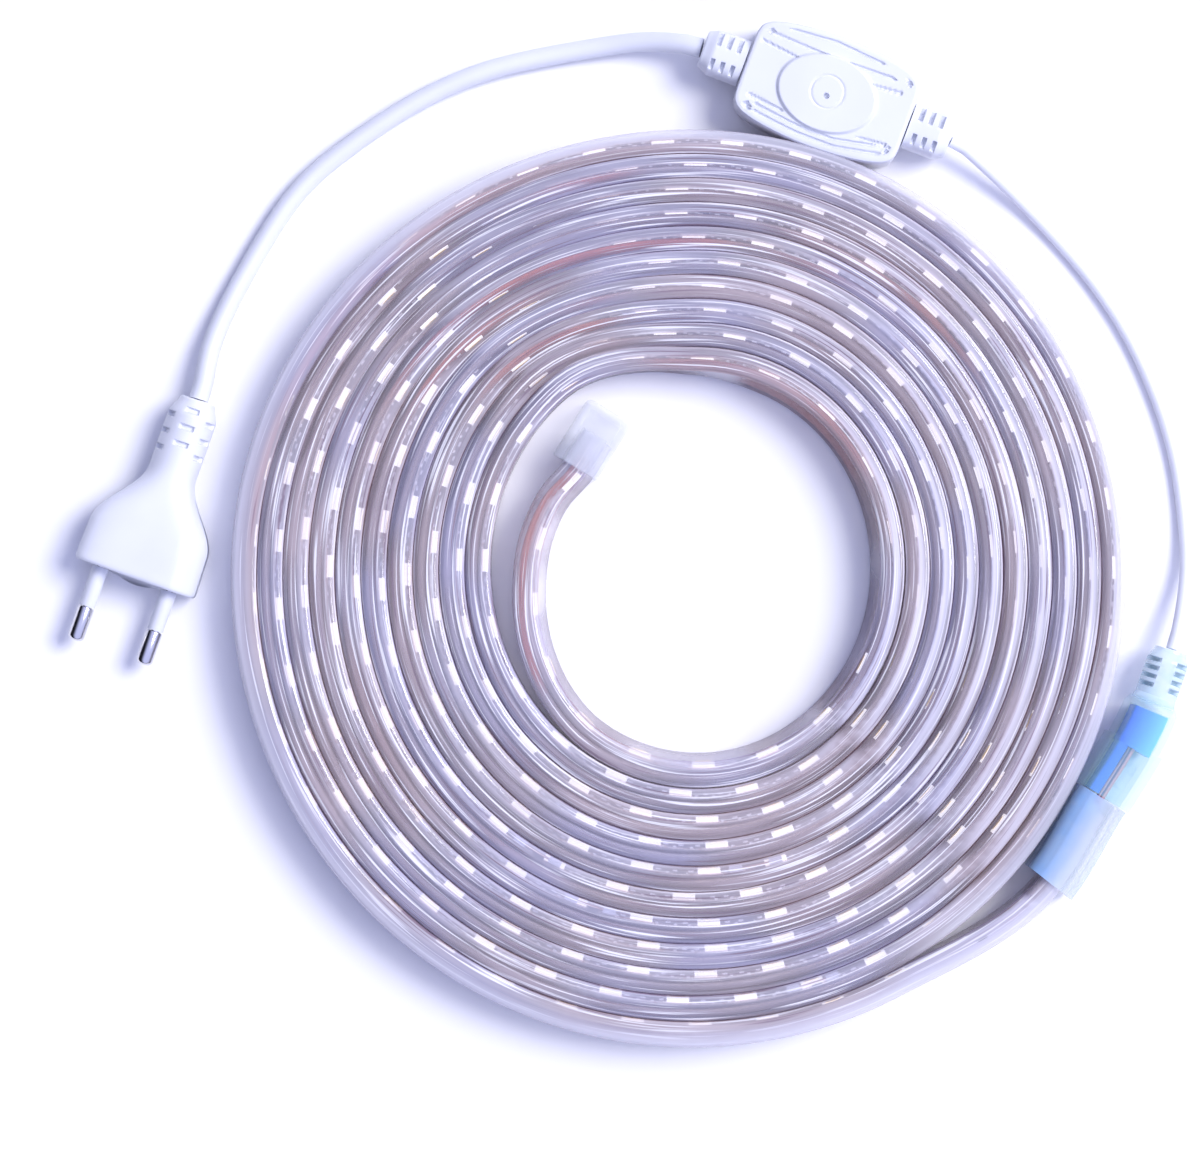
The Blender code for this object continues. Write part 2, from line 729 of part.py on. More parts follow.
def plug_half_width(distance):
    """Half the plug's width, from the face back to the neck: nearly parallel, and then drawn in."""
    start = PLUG_BODY_LENGTH - PLUG_SHOULDER_MARGIN - PLUG_SHOULDER_LENGTH
    drawn = smooth_step((distance - start) / PLUG_SHOULDER_LENGTH)
    side = PLUG_FACE_WIDTH / 2 - PLUG_SIDE_DRAFT * distance / PLUG_BODY_LENGTH
    return side + (PLUG_NECK_RADIUS - side) * drawn


def plug_half_height(distance):
    """Half the plug's thickness, from the flat body to the round neck."""
    start = PLUG_BODY_LENGTH - PLUG_SLOPE_MARGIN - PLUG_SLOPE_LENGTH
    drawn = smooth_step((distance - start) / PLUG_SLOPE_LENGTH)
    return plug_middle + (PLUG_NECK_RADIUS - plug_middle) * drawn


def relief_radius(distance):
    """The radius of the plug's strain relief, which narrows evenly from the neck to its end."""
    share = (distance - PLUG_BODY_LENGTH) / PLUG_RELIEF_LENGTH
    return PLUG_NECK_RADIUS + (PLUG_RELIEF_END_RADIUS - PLUG_NECK_RADIUS) * share


def make_plug(frame, white, metal):
    """The plug: body and strain relief in one moulding, two sleeved pins."""
    stations = []
    for distance in np.linspace(0, PLUG_BODY_LENGTH, PLUG_STATIONS):
        width, height = 2 * plug_half_width(distance), 2 * plug_half_height(distance)
        corner = PLUG_FACE_CORNER + PLUG_CORNER_GROWTH * distance
        stations.append((distance, rounded_section(width, height, corner, 3)))
    end = PLUG_BODY_LENGTH + PLUG_RELIEF_LENGTH
    width = 2 * PLUG_RELIEF_END_RADIUS
    stations.append((end, rounded_section(width, width, PLUG_RELIEF_END_RADIUS, 3)))

    def rings(stations):
        return along_axis(lifted(stations, plug_middle))

    body = solid("plug_body", rings(stations), white, frame)
    size = (PLUG_BODY_LENGTH, PLUG_RELIEF_LENGTH, PLUG_SLOT_MARGIN)
    slots = slot_tools("plug", rings, *size, relief_radius, frame)
    sockets = []
    for name, side in (("left", -PIN_SPREAD / 2), ("right", PIN_SPREAD / 2)):
        hole = round_section(pin_core_radius + GAP, 2, side)
        depth = PIN_ROOT_DEPTH + GAP
        sockets.append(tool(f"pin_hole_{name}", rings([(-CUT_PAST, hole), (depth, hole)]), frame))
        outside = round_section(PIN_RADIUS, 2, side)
        ends = (-GAP - PIN_SLEEVE_LENGTH, -GAP)
        sleeve = solid(f"plug_sleeve_{name}", rings([(e, outside) for e in ends]), white, frame)
        reach = (ends[0] - CUT_PAST, ends[1] + CUT_PAST)
        bore = tool(f"sleeve_bore_{name}", rings([(e, hole) for e in reach]), frame)
        combine(sleeve, [bore], "DIFFERENCE")
        make_pin(name, side, frame, metal)
    combine(body, [*slots, *sockets], "DIFFERENCE")


def make_pin(name, side, frame, material):
    """One pin: a thin core through its sleeve, and a full tip with a rounded end."""
    core = round_section(pin_core_radius, 2, side)
    tip = round_section(PIN_RADIUS, 2, side)
    nose = round_section(PIN_NOSE_RADIUS, 2, side)
    shoulder = -PIN_SLEEVE_LENGTH - 2 * GAP
    stations = [
        (-PIN_LENGTH, nose),
        (-PIN_LENGTH + PIN_NOSE_LENGTH, tip),
        (shoulder, tip),
        (shoulder, core),
        (PIN_ROOT_DEPTH, core),
    ]
    solid(f"plug_pin_{name}", along_axis(lifted(stations, plug_middle)), material, frame)


def make_cord(name, points, diameter, material):
    """A round cord as a bevelled curve, its points read evenly from the smooth route."""
    route = Route(points)
    curve = bpy.data.curves.new(name, "CURVE")
    curve.dimensions = "3D"
    curve.bevel_depth = diameter / 2
    curve.bevel_resolution = 2
    curve.use_fill_caps = True
    places = route.even_points(CORD_POINT_SPACING * diameter, CORD_STRAIGHT_END - GAP)
    spline = curve.splines.new("POLY")
    spline.points.add(len(places) - 1)
    for item, place in zip(spline.points, places):
        item.co = (*place, 1)
    cord = bpy.data.objects.new(name, curve)
    curve.materials.append(material)
    bpy.context.scene.collection.objects.link(cord)
    return cord


def turned(degrees):
    angle = math.radians(degrees)
    return Vector((math.cos(angle), math.sin(angle), 0))


def box_exit(sign, beyond):
    """A point on the box's axis, `beyond` past the end of its strain relief."""
    reach = BOX_LENGTH / 2 + GAP + BOX_RELIEF_LENGTH + beyond
    return Vector((*box_centre, box_middle)) + turned(BOX_TURN) * (sign * reach)


def plug_exit(beyond):
    """A point on the plug's axis, `beyond` past the end of its strain relief."""
    reach = PLUG_BODY_LENGTH + PLUG_RELIEF_LENGTH + beyond
    return Vector((*plug_face, plug_middle)) + turned(90 - PLUG_TURN) * reach


def connector_exit(outer, beyond):
    """A point on the connector's axis, `beyond` past the end of its strain relief."""
    return outer.point(outer.length) + outer.heading(outer.length) * beyond


def make_cords(outer, white):
    straight = CORD_STRAIGHT_END
    plug_cord = [box_exit(-1, GAP), box_exit(-1, straight), *PLUG_CORD_POINTS]
    plug_cord += [plug_exit(straight), plug_exit(GAP)]
    make_cord("plug_cord", plug_cord, PLUG_CORD_DIAMETER, white)
    strip_cord = [box_exit(1, GAP), box_exit(1, straight), *STRIP_CORD_POINTS]
    strip_cord += [connector_exit(outer, straight), connector_exit(outer, GAP)]
    make_cord("strip_cord", strip_cord, STRIP_CORD_DIAMETER, white)


def main():
    clear_scene()
    clear = make_material("clear_strip", (0.66, 0.62, 0.68), 0.25, 0.0, 0.6)
    cap_clear = make_material("clear_cap", (0.80, 0.86, 0.95), 0.15, 0.0, 0.5)
    tinted = make_material("tinted_clear", (0.55, 0.82, 0.93), 0.2, 0.0, 0.6)
    blue = make_material("blue_core", (0.08, 0.33, 0.85), 0.3)
    copper = make_material("contact_copper", (0.72, 0.42, 0.30), 0.3, 1.0)
    white = make_material("white_plastic", (0.90, 0.91, 0.93), 0.4)
    nickel = make_material("nickel", (0.75, 0.75, 0.77), 0.15, 1.0)

    outer, inner = outer_route(), inner_route()
    mouth = outer.length - CONNECTOR_LENGTH
    make_strip(outer, inner, mouth, clear)
    make_end_cap(inner, cap_clear)
    make_sleeve(outer, mouth, tinted)
    make_connector_body(outer, mouth, tinted)
    make_core(outer, mouth, blue)
    make_contacts(outer, mouth, copper)

    box_frame = add_frame("rectifier_frame", box_centre, BOX_TURN)
    make_box(box_frame, white)
    make_box_relief("rectifier_relief_plug_side", box_frame, -1, white)
    make_box_relief("rectifier_relief_strip_side", box_frame, 1, white)

    plug_frame = add_frame("plug_frame", plug_face, -PLUG_TURN)
    make_plug(plug_frame, white, nickel)
    make_cords(outer, white)


main()
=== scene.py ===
"""A clear LED strip light, wound on its edge as a flat coil, with its connector, cords, rectifier and plug.

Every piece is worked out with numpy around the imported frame, in metres, lying on the plane Z = 0.
"""

import math

import bpy
import numpy as np
from bpy.props import FloatProperty, FloatVectorProperty, IntProperty, PointerProperty
from bpy.types import NodeSocket, Operator, Panel, PropertyGroup
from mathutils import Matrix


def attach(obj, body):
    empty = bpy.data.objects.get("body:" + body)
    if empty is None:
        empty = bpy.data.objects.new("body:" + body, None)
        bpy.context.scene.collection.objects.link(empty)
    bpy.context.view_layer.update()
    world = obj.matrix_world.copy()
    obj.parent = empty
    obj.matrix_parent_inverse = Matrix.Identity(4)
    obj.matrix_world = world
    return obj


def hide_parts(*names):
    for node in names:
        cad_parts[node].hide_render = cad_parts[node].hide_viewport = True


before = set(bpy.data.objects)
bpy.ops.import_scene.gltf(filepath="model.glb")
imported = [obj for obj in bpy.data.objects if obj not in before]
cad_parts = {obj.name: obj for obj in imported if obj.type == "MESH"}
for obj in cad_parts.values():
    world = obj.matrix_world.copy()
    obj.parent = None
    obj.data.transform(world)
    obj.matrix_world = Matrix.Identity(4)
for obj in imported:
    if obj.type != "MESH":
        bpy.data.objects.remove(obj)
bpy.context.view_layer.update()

bl_info = {
    "name": "LED Strip Light",
    "version": (1, 0, 0),
    "blender": (4, 5, 0),
    "location": "View3D > Sidebar > Strip Light",
    "description": "Builds a coiled LED strip light with its power lead",
    "category": "Object",
}

BODY = "root"
SENSOR_WIDTH = 36.0
VIEW_LEVEL = 0.010
FLOOR_HALF = 3.0

# The coil's own lay, as the solids have it
COIL_CENTRE = (0.00155, 0.00155)
BORE_CENTRE = (0.00445, 0.00455)
BORE_RADIUS = 0.0499
RING_RADIUS = 0.1057
SPIRAL_START = 238
SPIRAL_END = 3898
SPIRAL_STEP = 3
JOINED_AT = 90
TAIL_PATH = [
    (139.52, 0.01131),
    (150.03, 0.01036),
    (159.99, 0.00972),
    (170.90, 0.00914),
    (182.84, 0.00850),
    (197.68, 0.00692),
]
CONNECTOR_PATH = [
    (-39.89, 0.00775),
    (-29.24, 0.00679),
    (-18.64, 0.00960),
    (-12.14, 0.01147),
    (-7.73, 0.01283),
]
CAP_HEADING = 58.0
CAP_INSERTION = 0.0090
CAP_LENGTH = 0.0160
REST_HEIGHT = 0.0071
RAISED_HEIGHT = 0.0085
LIFT_START = 3835
CONNECTOR_LENGTH = 0.0636
SLEEVE_LENGTH = 0.0240
STRIP_INSERTION = 0.0205
BODY_LENGTH = 0.0260
GAP = 0.0003

BORE_SECTION = (0.0066, 0.0146, 0.0007)
POCKET_DEPTH = 0.0240
CORE_LENGTH = 0.0100
CORE_WIDTH = 0.0086
TONGUE_WIDTH = 0.0026
TONGUE_LENGTH = 0.0135
CONTACT_LENGTH = 0.0190
CONTACT_ROOT = 0.0030
CONTACT_HEIGHT = 0.0044

# Inside the tube
RIBBON_THICKNESS = 0.00030
RIBBON_WIDTH = 0.0082
WIRE_RADIUS = 0.00085
WIRE_HEIGHT = 0.0052
FIRST_LED = 0.012
LED_HALF_THICKNESS = 0.00062

# Where the strip's looks change: the outermost turn's length, and the distance at which the lean is over
OUTER_TURN = 0.78
LEAN_END = 0.245

# What the photo shows round the coil, in metres and degrees about the view's own middle
PHOTO_MIDDLE = (0.00287, 0.00323)
LIGHT_SIDE = (0.7071, 0.7071, 0.0)
WARM_STRETCHES = [
    (0.0807, 78, 154, 1.0),
    (0.0973, 94, 116, 0.9),
    (0.0677, 100, 142, 0.8),
    (0.1085, 64, 182, 0.5),
    (0.0530, 26, 73, 0.6),
    (0.0841, 31, 81, 0.5),
    (0.0525, 58, 107, 0.5),
    (0.0405, 128, 222, 0.8),
]
JOINTS = [
    (117, 0.0990),
    (108, 0.0639),
    (220, 0.0882),
    (241, 0.0754),
    (253, 0.0875),
    (283, 0.0749),
    (287, 0.1014),
    (310, 0.1108),
    (351, 0.0699),
]

# The rectifier box and the plug, as the solids have them
BOX_PLACE = (73.83, 0.01731)
BOX_TURN = -20.5
BOX_LENGTH = 0.0417
BOX_RELIEF_LENGTH = 0.0106
PLUG_PLACE = (179.37, 0.02696)
PLUG_TURN = -19.6
PLUG_BODY_LENGTH = 0.0300
PLUG_RELIEF_LENGTH = 0.0155
CORD_STRAIGHT_END = 0.0020
BOX_MIDDLE = 0.0075
PLUG_MIDDLE = 0.00685
PIN_OFF = 0.00875

# The cords' points, from the box outwards, as the solids have them
PLUG_CORD_POINTS = [
    (0.0004, 0.1322, 0.0068),
    (-0.0068, 0.1328, 0.0052),
    (-0.0164, 0.1320, 0.0036),
    (-0.0309, 0.1296, 0.0026),
    (-0.0454, 0.1262, 0.0025),
    (-0.0620, 0.1191, 0.0025),
    (-0.0786, 0.1084, 0.0025),
    (-0.0911, 0.0977, 0.0025),
    (-0.1010, 0.0834, 0.0027),
    (-0.1092, 0.0682, 0.0036),
    (-0.1137, 0.0555, 0.0058),
]
STRIP_CORD_POINTS = [
    (0.0700, 0.1061, 0.0068),
    (0.0770, 0.1000, 0.0045),
    (0.0837, 0.0937, 0.0026),
    (0.0905, 0.0867, 0.0016),
    (0.1003, 0.0753, 0.0015),
    (0.1090, 0.0622, 0.0015),
    (0.1150, 0.0495, 0.0015),
    (0.1200, 0.0345, 0.0015),
    (0.1226, 0.0181, 0.0017),
    (0.1231, 0.0068, 0.0031),
    (0.1219, -0.0030, 0.0060),
]


# Settings that the sidebar shows


def setting(name, description, default, unit="LENGTH"):
    """A length in metres unless `unit` says otherwise, or a colour where the default is a triple."""
    if isinstance(default, tuple):
        return FloatVectorProperty(name=name, description=description, default=default, subtype="COLOR")
    return FloatProperty(name=name, description=description, default=default, unit=unit)


class StripSettings(PropertyGroup):
    """Sizes and colours of the strip itself."""

    thickness: setting("Thickness", "Across the strip's flat sides", 0.00576)
    height: setting("Height", "Edge to edge, as the strip stands", 0.0140)
    corner: setting("Corner", "Radius of the tube's long edges", 0.0012)
    station: setting("Station", "Distance between sections along the strip", 0.0032)
    lean: setting("Lean", "How far the innermost turn's foot stands in", 0.0022)
    led_pitch: setting("LED pitch", "Distance from LED to LED", 0.016667)
    led_length: setting("LED length", "Length of an LED along the strip", 0.0054)
    haze: setting("Haze", "How much of the tube's own colour shows", 0.30, "NONE")
    # Strength of the painted highlight on the side that the light meets
    painted_glow: setting("Glow", "How much more shows on the side that the light meets", 0.36, "NONE")
    clear_colour: setting("Clear tube", "Tint of the clear tube", (0.60, 0.555, 0.62))
    wire_colour: setting("Wires", "Colour of the stranded wires", (0.46, 0.38, 0.38))


class LeadSettings(PropertyGroup):
    """Sizes and colours of the power lead."""

    plug_cord: setting("Plug cord", "Diameter of the cord to the plug", 0.0048)
    strip_cord: setting("Strip cord", "Diameter of the cord to the strip", 0.0028)
    white: setting("White", "Colour of the white mouldings", (0.78, 0.80, 0.86))
    blue: setting("Core", "Colour of the connector's core", (0.0, 0.05, 0.78))


class StageSettings(PropertyGroup):
    """The floor, the light and the camera."""

    camera_height: setting("Camera height", "Height of the camera over the floor", 1.2)
    view_width: setting("View width", "Width of the view at the object", 0.28916)
    view_x: setting("View X", "Middle of the view across", -0.0188)
    view_y: setting("View Y", "Middle of the view upwards", 0.0017)
    sun: setting("Sun", "Strength of the soft key light", 2.6, "NONE")
    floor: setting("Floor", "Colour of the floor", (0.90, 0.90, 0.91))
    seed: IntProperty(name="Seed", description="Seed of the random scatter", default=7)


# Curves and sections


def smooth_step(value):
    """0 below 0, 1 above 1, and 3x^2 - 2x^3 between."""
    x = np.clip(value, 0.0, 1.0)
    return x * x * (3 - 2 * x)


def on_circle(middle, radius, degrees):
    angle = np.radians(degrees)
    return np.array([middle[0] + radius * np.cos(angle), middle[1] + radius * np.sin(angle)])


def natural_cubic(points, per_span):
    """Points on the natural cubic spline through the given ones, with chord length as parameter."""
    points = np.asarray(points, float)
    chord = np.linalg.norm(np.diff(points, axis=0), axis=1)
    count = len(points)
    matrix, target = np.eye(count), np.zeros((count, 3))
    inner = np.arange(1, count - 1)
    matrix[inner, inner - 1] = chord[:-1]
    matrix[inner, inner] = 2 * (chord[:-1] + chord[1:])
    matrix[inner, inner + 1] = chord[1:]
    slope = np.diff(points, axis=0) / chord[:, None]
    target[1:-1] = 6 * np.diff(slope, axis=0)
    bend = np.linalg.solve(matrix, target)
    h = chord[:, None, None]
    t = h * np.linspace(0, 1, per_span, endpoint=False)[None, :, None]
    here, there = bend[:-1, None], bend[1:, None]
    start = slope[:, None] - h * (2 * here + there) / 6
    curve = points[:-1, None] + start * t + here / 2 * t**2 + (there - here) / (6 * h) * t**3
    return np.concatenate([curve.reshape(-1, 3), points[-1:]])


class Route:
    """A smooth curve through points, read at distances along it, with level sideways directions."""

    def __init__(self, points, per_span=8):
        self.dense = natural_cubic(points, per_span)
        steps = np.linalg.norm(np.diff(self.dense, axis=0), axis=1)
        self.along = np.concatenate([[0.0], np.cumsum(steps)])
        self.length = float(self.along[-1])

    def points(self, distances):
        return np.stack([np.interp(distances, self.along, self.dense[:, k]) for k in range(3)], axis=1)

    def headings(self, distances, reach=0.0005):
        ahead = self.points(np.minimum(np.asarray(distances) + reach, self.length))
        behind = self.points(np.maximum(np.asarray(distances) - reach, 0.0))
        level = (ahead - behind) * (1, 1, 0)
        return level / np.linalg.norm(level, axis=1)[:, None]

    def sides(self, distances):
        """The level direction to the right of the route, which on the coil points outwards."""
        heading = self.headings(distances)
        return np.stack([heading[:, 1], -heading[:, 0], np.zeros(len(heading))], axis=1)

    def placed(self, distances, across, up):
        """Points `across` to the right of the route and `up` above it, a row for each distance.

        P(d, a, b) = route(d) + a * side(d) + b * Z, where side is the heading turned right.
        """
        across, up = np.broadcast_arrays(np.atleast_2d(across), np.atleast_2d(up))
        grid = self.points(distances)[:, None] + self.sides(distances)[:, None] * across[..., None]
        grid[..., 2] += up
        return grid

    def nearest(self, degrees, radius):
        """The distance along the route at which it passes a place given round the coil's middle."""
        place = on_circle(PHOTO_MIDDLE, radius, degrees)
        return float(self.along[np.argmin(np.hypot(*(self.dense[:, :2] - place).T))])


def coil_point(degrees, share):
    """Plan position in the spiral: `degrees` round it, `share` of a turn out from its inner side.

    Each turn is an ellipse whose middle and radii change with its layer number m, and m steps up by
    one, in an S curve, just after the top of each round.
    """
    rounds = (degrees - JOINED_AT) / 360
    whole = np.floor(rounds)
    past = (rounds - whole) * 360
    step_length = 35 + 50 * np.clip(whole / 10, 0, 1)
    m = whole - 2 + smooth_step(past / step_length) + share
    angle = np.radians(degrees)
    x = 0.004795 - 0.00018 * m + (0.049875 + 0.00607 * m) * np.cos(angle)
    y = 0.005525 - 0.00021 * m + (0.053125 + 0.00601 * m) * np.sin(angle)
    return np.stack([x, y], axis=-1)


def cap_mouth():
    """Plan position of the end cap's open end."""
    degrees, inward = TAIL_PATH[0]
    return on_circle(BORE_CENTRE, BORE_RADIUS - inward, degrees)


def strip_route():
    """The strip's middle line, from its end in the cap, round the coil and on through the connector."""
    mouth = cap_mouth()
    points = []
    for distance in (CAP_INSERTION, CAP_INSERTION / 2):
        points.append([*on_circle(mouth, distance, CAP_HEADING), RAISED_HEIGHT])
    for number, (degrees, inward) in enumerate(TAIL_PATH):
        share = 1 - number / len(TAIL_PATH)
        height = REST_HEIGHT + (RAISED_HEIGHT - REST_HEIGHT) * smooth_step(share)
        points.append([*on_circle(BORE_CENTRE, BORE_RADIUS - inward, degrees), height])
    degrees = np.arange(SPIRAL_START, SPIRAL_END + 1, SPIRAL_STEP)
    plan = coil_point(degrees.astype(float), 0.5)
    lift = smooth_step((degrees - LIFT_START) / (SPIRAL_END - LIFT_START))
    height = REST_HEIGHT + (RAISED_HEIGHT - REST_HEIGHT) * lift
    points.extend(np.column_stack([plan, height]).tolist())
    for degrees, off in CONNECTOR_PATH:
        points.append([*on_circle(COIL_CENTRE, RING_RADIUS + off, degrees), RAISED_HEIGHT])
    return Route(points)


def facing(route, distances):
    """How squarely the strip's outer side faces the key light, from -1 to 1."""
    return route.sides(distances) @ np.array(LIGHT_SIDE)


def lit_side(route, distances):
    """Which side the light meets, where the tube's painted highlight goes: 1 outer, -1 inner, f / sqrt(f^2 +
    0.06) where the strip turns over.
    """
    found = facing(route, distances)
    return found / np.sqrt(found**2 + 0.06)


def last_turn(route, distances):
    """0 on the turns inside and 1 on the outermost one."""
    return smooth_step((distances - route.length + OUTER_TURN) / 0.03)


def lean_at(settings, distances):
    """How far the strip's foot stands in, from its inner end to where the second turn covers it."""
    return settings.lean * (1 - smooth_step((distances - LEAN_END) / 0.03))


def swell(route, distances):
    """How much wider the tube is pressed on the side away from the light, where its turns lie looser."""
    return 1 + 0.07 * smooth_step((0.75 - facing(route, distances)) / 1.5)


def led_shift(route, distances):
    """The LED row's place across the tube, nearer to the light's side."""
    return np.maximum(-0.00085 + 0.00125 * facing(route, distances), -0.0019)


def wire_shift(route, distances):
    """The wires' place across the tube: on its shaded side, and inwards on the outermost turn."""
    last = last_turn(route, distances)
    return (1 - last) * (0.0001 - 0.0014 * facing(route, distances)) - last * 0.00125


def waves(distances, shortest, longest, seed, across=0.0):
    """A slow wander between 0 and 1 along the strip: a sum of five sines of random length and start."""
    scatter = np.random.default_rng(seed)
    lengths = np.geomspace(shortest, longest, 5) * scatter.uniform(0.85, 1.15, 5)
    starts, lags = scatter.uniform(0, 2 * math.pi, 5), scatter.uniform(-2.2, 2.2, 5)
    angle = 2 * math.pi * distances[..., None] / lengths + starts + lags * np.asarray(across)[..., None]
    return np.clip(0.5 + np.sin(angle).sum(axis=-1) / 5, 0, 1)


def warmth(route, distances):
    """How red the copper looks along the strip, from the stretches seen round the coil."""
    plan = route.points(distances)[:, :2] - np.array(PHOTO_MIDDLE)
    radius, degrees = np.hypot(*plan.T), np.degrees(np.arctan2(plan[:, 1], plan[:, 0])) % 360
    warm = np.zeros(len(plan))
    for middle, first, last, strength in WARM_STRETCHES:
        inside = smooth_step((degrees - first) / 12) * smooth_step((last - degrees) / 12)
        warm = np.maximum(warm, strength * inside * smooth_step((0.0042 - np.abs(radius - middle)) / 0.002))
    return warm


def rounded_section(width, height, corner, steps=5):
    """A rectangle with round corners, as arrays of (across, up), anticlockwise from the right."""
    corner = min(corner, width / 2 - 1e-6, height / 2 - 1e-6)
    quarter = np.arange(4)[:, None]
    angle = np.radians(90) * (quarter + np.linspace(0, 1, steps + 1)[None, :])
    sx, sy = np.array([1, -1, -1, 1])[:, None], np.array([1, 1, -1, -1])[:, None]
    across = sx * (width / 2 - corner) + corner * np.cos(angle)
    up = sy * (height / 2 - corner) + corner * np.sin(angle)
    return across.ravel(), up.ravel()


def round_section(radius, count):
    angle = 2 * math.pi * (np.arange(count) + 0.5) / count
    return radius * np.cos(angle), radius * np.sin(angle)


# Meshes and pieces


def new_mesh(name, points, faces, smooth_angle=35, uv=None, marks=None):
    """A mesh from arrays, with its faces turned outwards by the sign of its volume.

    `marks` are named values, one a point, that the finish reads.
    """
    points = np.asarray(points, float)
    quads = np.array([f for f in faces if len(f) == 4]) if not isinstance(faces, np.ndarray) else faces
    a, b, c, d = (points[quads[:, k]] for k in range(4))
    volume = np.einsum("ij,ij->i", a, np.cross(b, c)).sum() + np.einsum("ij,ij->i", a, np.cross(c, d)).sum()
    listed = faces.tolist() if isinstance(faces, np.ndarray) else [list(f) for f in faces]
    if volume < 0:
        listed = [face[::-1] for face in listed]
    mesh = bpy.data.meshes.new(name)
    mesh.from_pydata(points.tolist(), [], listed)
    if uv is not None:
        layer = mesh.uv_layers.new(name="along_and_across")
        loops = np.empty(len(mesh.loops), int)
        mesh.loops.foreach_get("vertex_index", loops)
        layer.data.foreach_set("uv", np.asarray(uv, float)[loops].ravel())
    for key, values in (marks or {}).items():
        mark = mesh.attributes.new(key, "FLOAT", "POINT")
        mark.data.foreach_set("value", np.asarray(values, float).ravel())
    mesh.shade_smooth()
    mesh.set_sharp_from_angle(angle=math.radians(smooth_angle))
    return mesh


def grid_faces(rows, columns, round_rows=False):
    """Quads between neighbours of a grid whose rows are closed loops, and a face over each open end."""
    row = np.arange(rows if round_rows else rows - 1)[:, None]
    column = np.arange(columns)[None, :]
    near, far = row * columns, (row + 1) % rows * columns
    beside = (column + 1) % columns
    quads = np.stack([near + column, near + beside, far + beside, far + column], axis=-1).reshape(-1, 4)
    if round_rows:
        return quads
    ends = [list(range(columns))[::-1], list(range((rows - 1) * columns, rows * columns))]
    return quads.tolist() + ends


def piece(name, mesh, material, slot, replaces=()):
    """Links a mesh as a piece of the object that rides on its body."""
    thing = bpy.data.objects.new(name, mesh)
    mesh.materials.append(material)
    bpy.context.scene.collection.objects.link(thing)
    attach(thing, BODY)
    if replaces:
        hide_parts(*replaces)


def grid_piece(name, grid, material, slot, replaces=(), round_rows=False, smooth=35, uv=None, marks=None):
    """A piece from a grid of points, row by row, each row a closed loop."""
    rows, columns = grid.shape[:2]
    faces = grid_faces(rows, columns, round_rows)
    flat_uv = None if uv is None else uv.reshape(-1, 2)
    piece(name, new_mesh(name, grid.reshape(-1, 3), faces, smooth, flat_uv, marks), material, slot, replaces)


def copies(template, faces, route, distances, shift=0.0):
    """One small shape repeated along a route, as points and faces.

    The template's points are (along, across, up); each copy's are carried by the route's own
    directions at its distance, so copy k's point = route(d_k) + along * heading
    + (across + shift_k) * side + up * Z.
    """
    along, across, up = template[:, 0], template[:, 1], template[:, 2]
    across = across[None, :] + np.broadcast_to(shift, len(distances))[:, None]
    points = route.points(distances)[:, None] + route.headings(distances)[:, None] * along[None, :, None]
    points = points + route.sides(distances)[:, None] * across[..., None]
    points[..., 2] += up[None, :]
    count = len(template)
    listed = []
    for k in range(len(distances)):
        listed.extend([[i + k * count for i in face] for face in faces])
    return points.reshape(-1, 3), listed


def chamfered_block(low, high, cut):
    """A block with its long edges cut back, as points (along, across, up) and faces."""
    (x0, y0, z0), (x1, y1, z1) = low, high
    ring = [
        (y0 + cut, z0), (y1 - cut, z0), (y1, z0 + cut), (y1, z1 - cut),
        (y1 - cut, z1), (y0 + cut, z1), (y0, z1 - cut), (y0, z0 + cut),
    ]
    points = [(x, y, z) for x in (x0, x1) for y, z in ring]
    faces = [[k, (k + 1) % 8, (k + 1) % 8 + 8, k + 8] for k in range(8)]
    faces += [[7, 0, 1, 2], [6, 7, 2, 3], [5, 6, 3, 4], [10, 9, 8, 15], [11, 10, 15, 14], [12, 11, 14, 13]]
    return np.array(points), faces


# Finishes


class Nodes:
    """A node tree, with short calls that add nodes to it. An input is a value or another node's outlet."""

    def __init__(self, tree):
        self.tree = tree

    def join(self, value, socket):
        if isinstance(value, NodeSocket):
            self.tree.links.new(value, socket)
        else:
            socket.default_value = value

    def node(self, kind, inputs=None, outlet=0, **settings):
        made = self.tree.nodes.new("ShaderNode" + kind)
        for key, value in settings.items():
            setattr(made, key, value)
        for key, value in (inputs or {}).items():
            self.join(value, made.inputs[key])
        return made.outputs[outlet]

    def noise(self, scale, detail=2.0, stretch=(1, 1, 1), uv=False):
        """Noise in object coordinates in metres, or in the piece's own UV map, scaled along each axis."""
        coordinates = self.node("TexCoord", outlet="UV" if uv else "Object")
        vector = self.node("Mapping", {"Vector": coordinates, "Scale": stretch})
        return self.node("TexNoise", {"Vector": vector, "Scale": scale, "Detail": detail})

    def mark(self, name):
        """A named value that the mesh carries at its points."""
        return self.node("Attribute", outlet="Fac", attribute_name=name)

    def ramp(self, value, stops):
        """A colour ramp; stops are (position, colour or grey)."""
        made = self.tree.nodes.new("ShaderNodeValToRGB")
        elements = made.color_ramp.elements
        while len(elements) < len(stops):
            elements.new(0.5)
        for element, (position, colour) in zip(elements, stops):
            element.position = position
            level = colour if isinstance(colour, tuple) else (colour,) * 3
            element.color = (*level, 1)
        self.join(value, made.inputs["Fac"])
        return made.outputs["Color"]

    def blend(self, share, first, second):
        made = self.tree.nodes.new("ShaderNodeMix")
        made.data_type = "RGBA"
        for key, value in ((0, share), (6, first), (7, second)):
            self.join((*value, 1) if isinstance(value, tuple) else value, made.inputs[key])
        return made.outputs[2]

    def times(self, first, second):
        return self.node("Math", {0: first, 1: second}, operation="MULTIPLY")


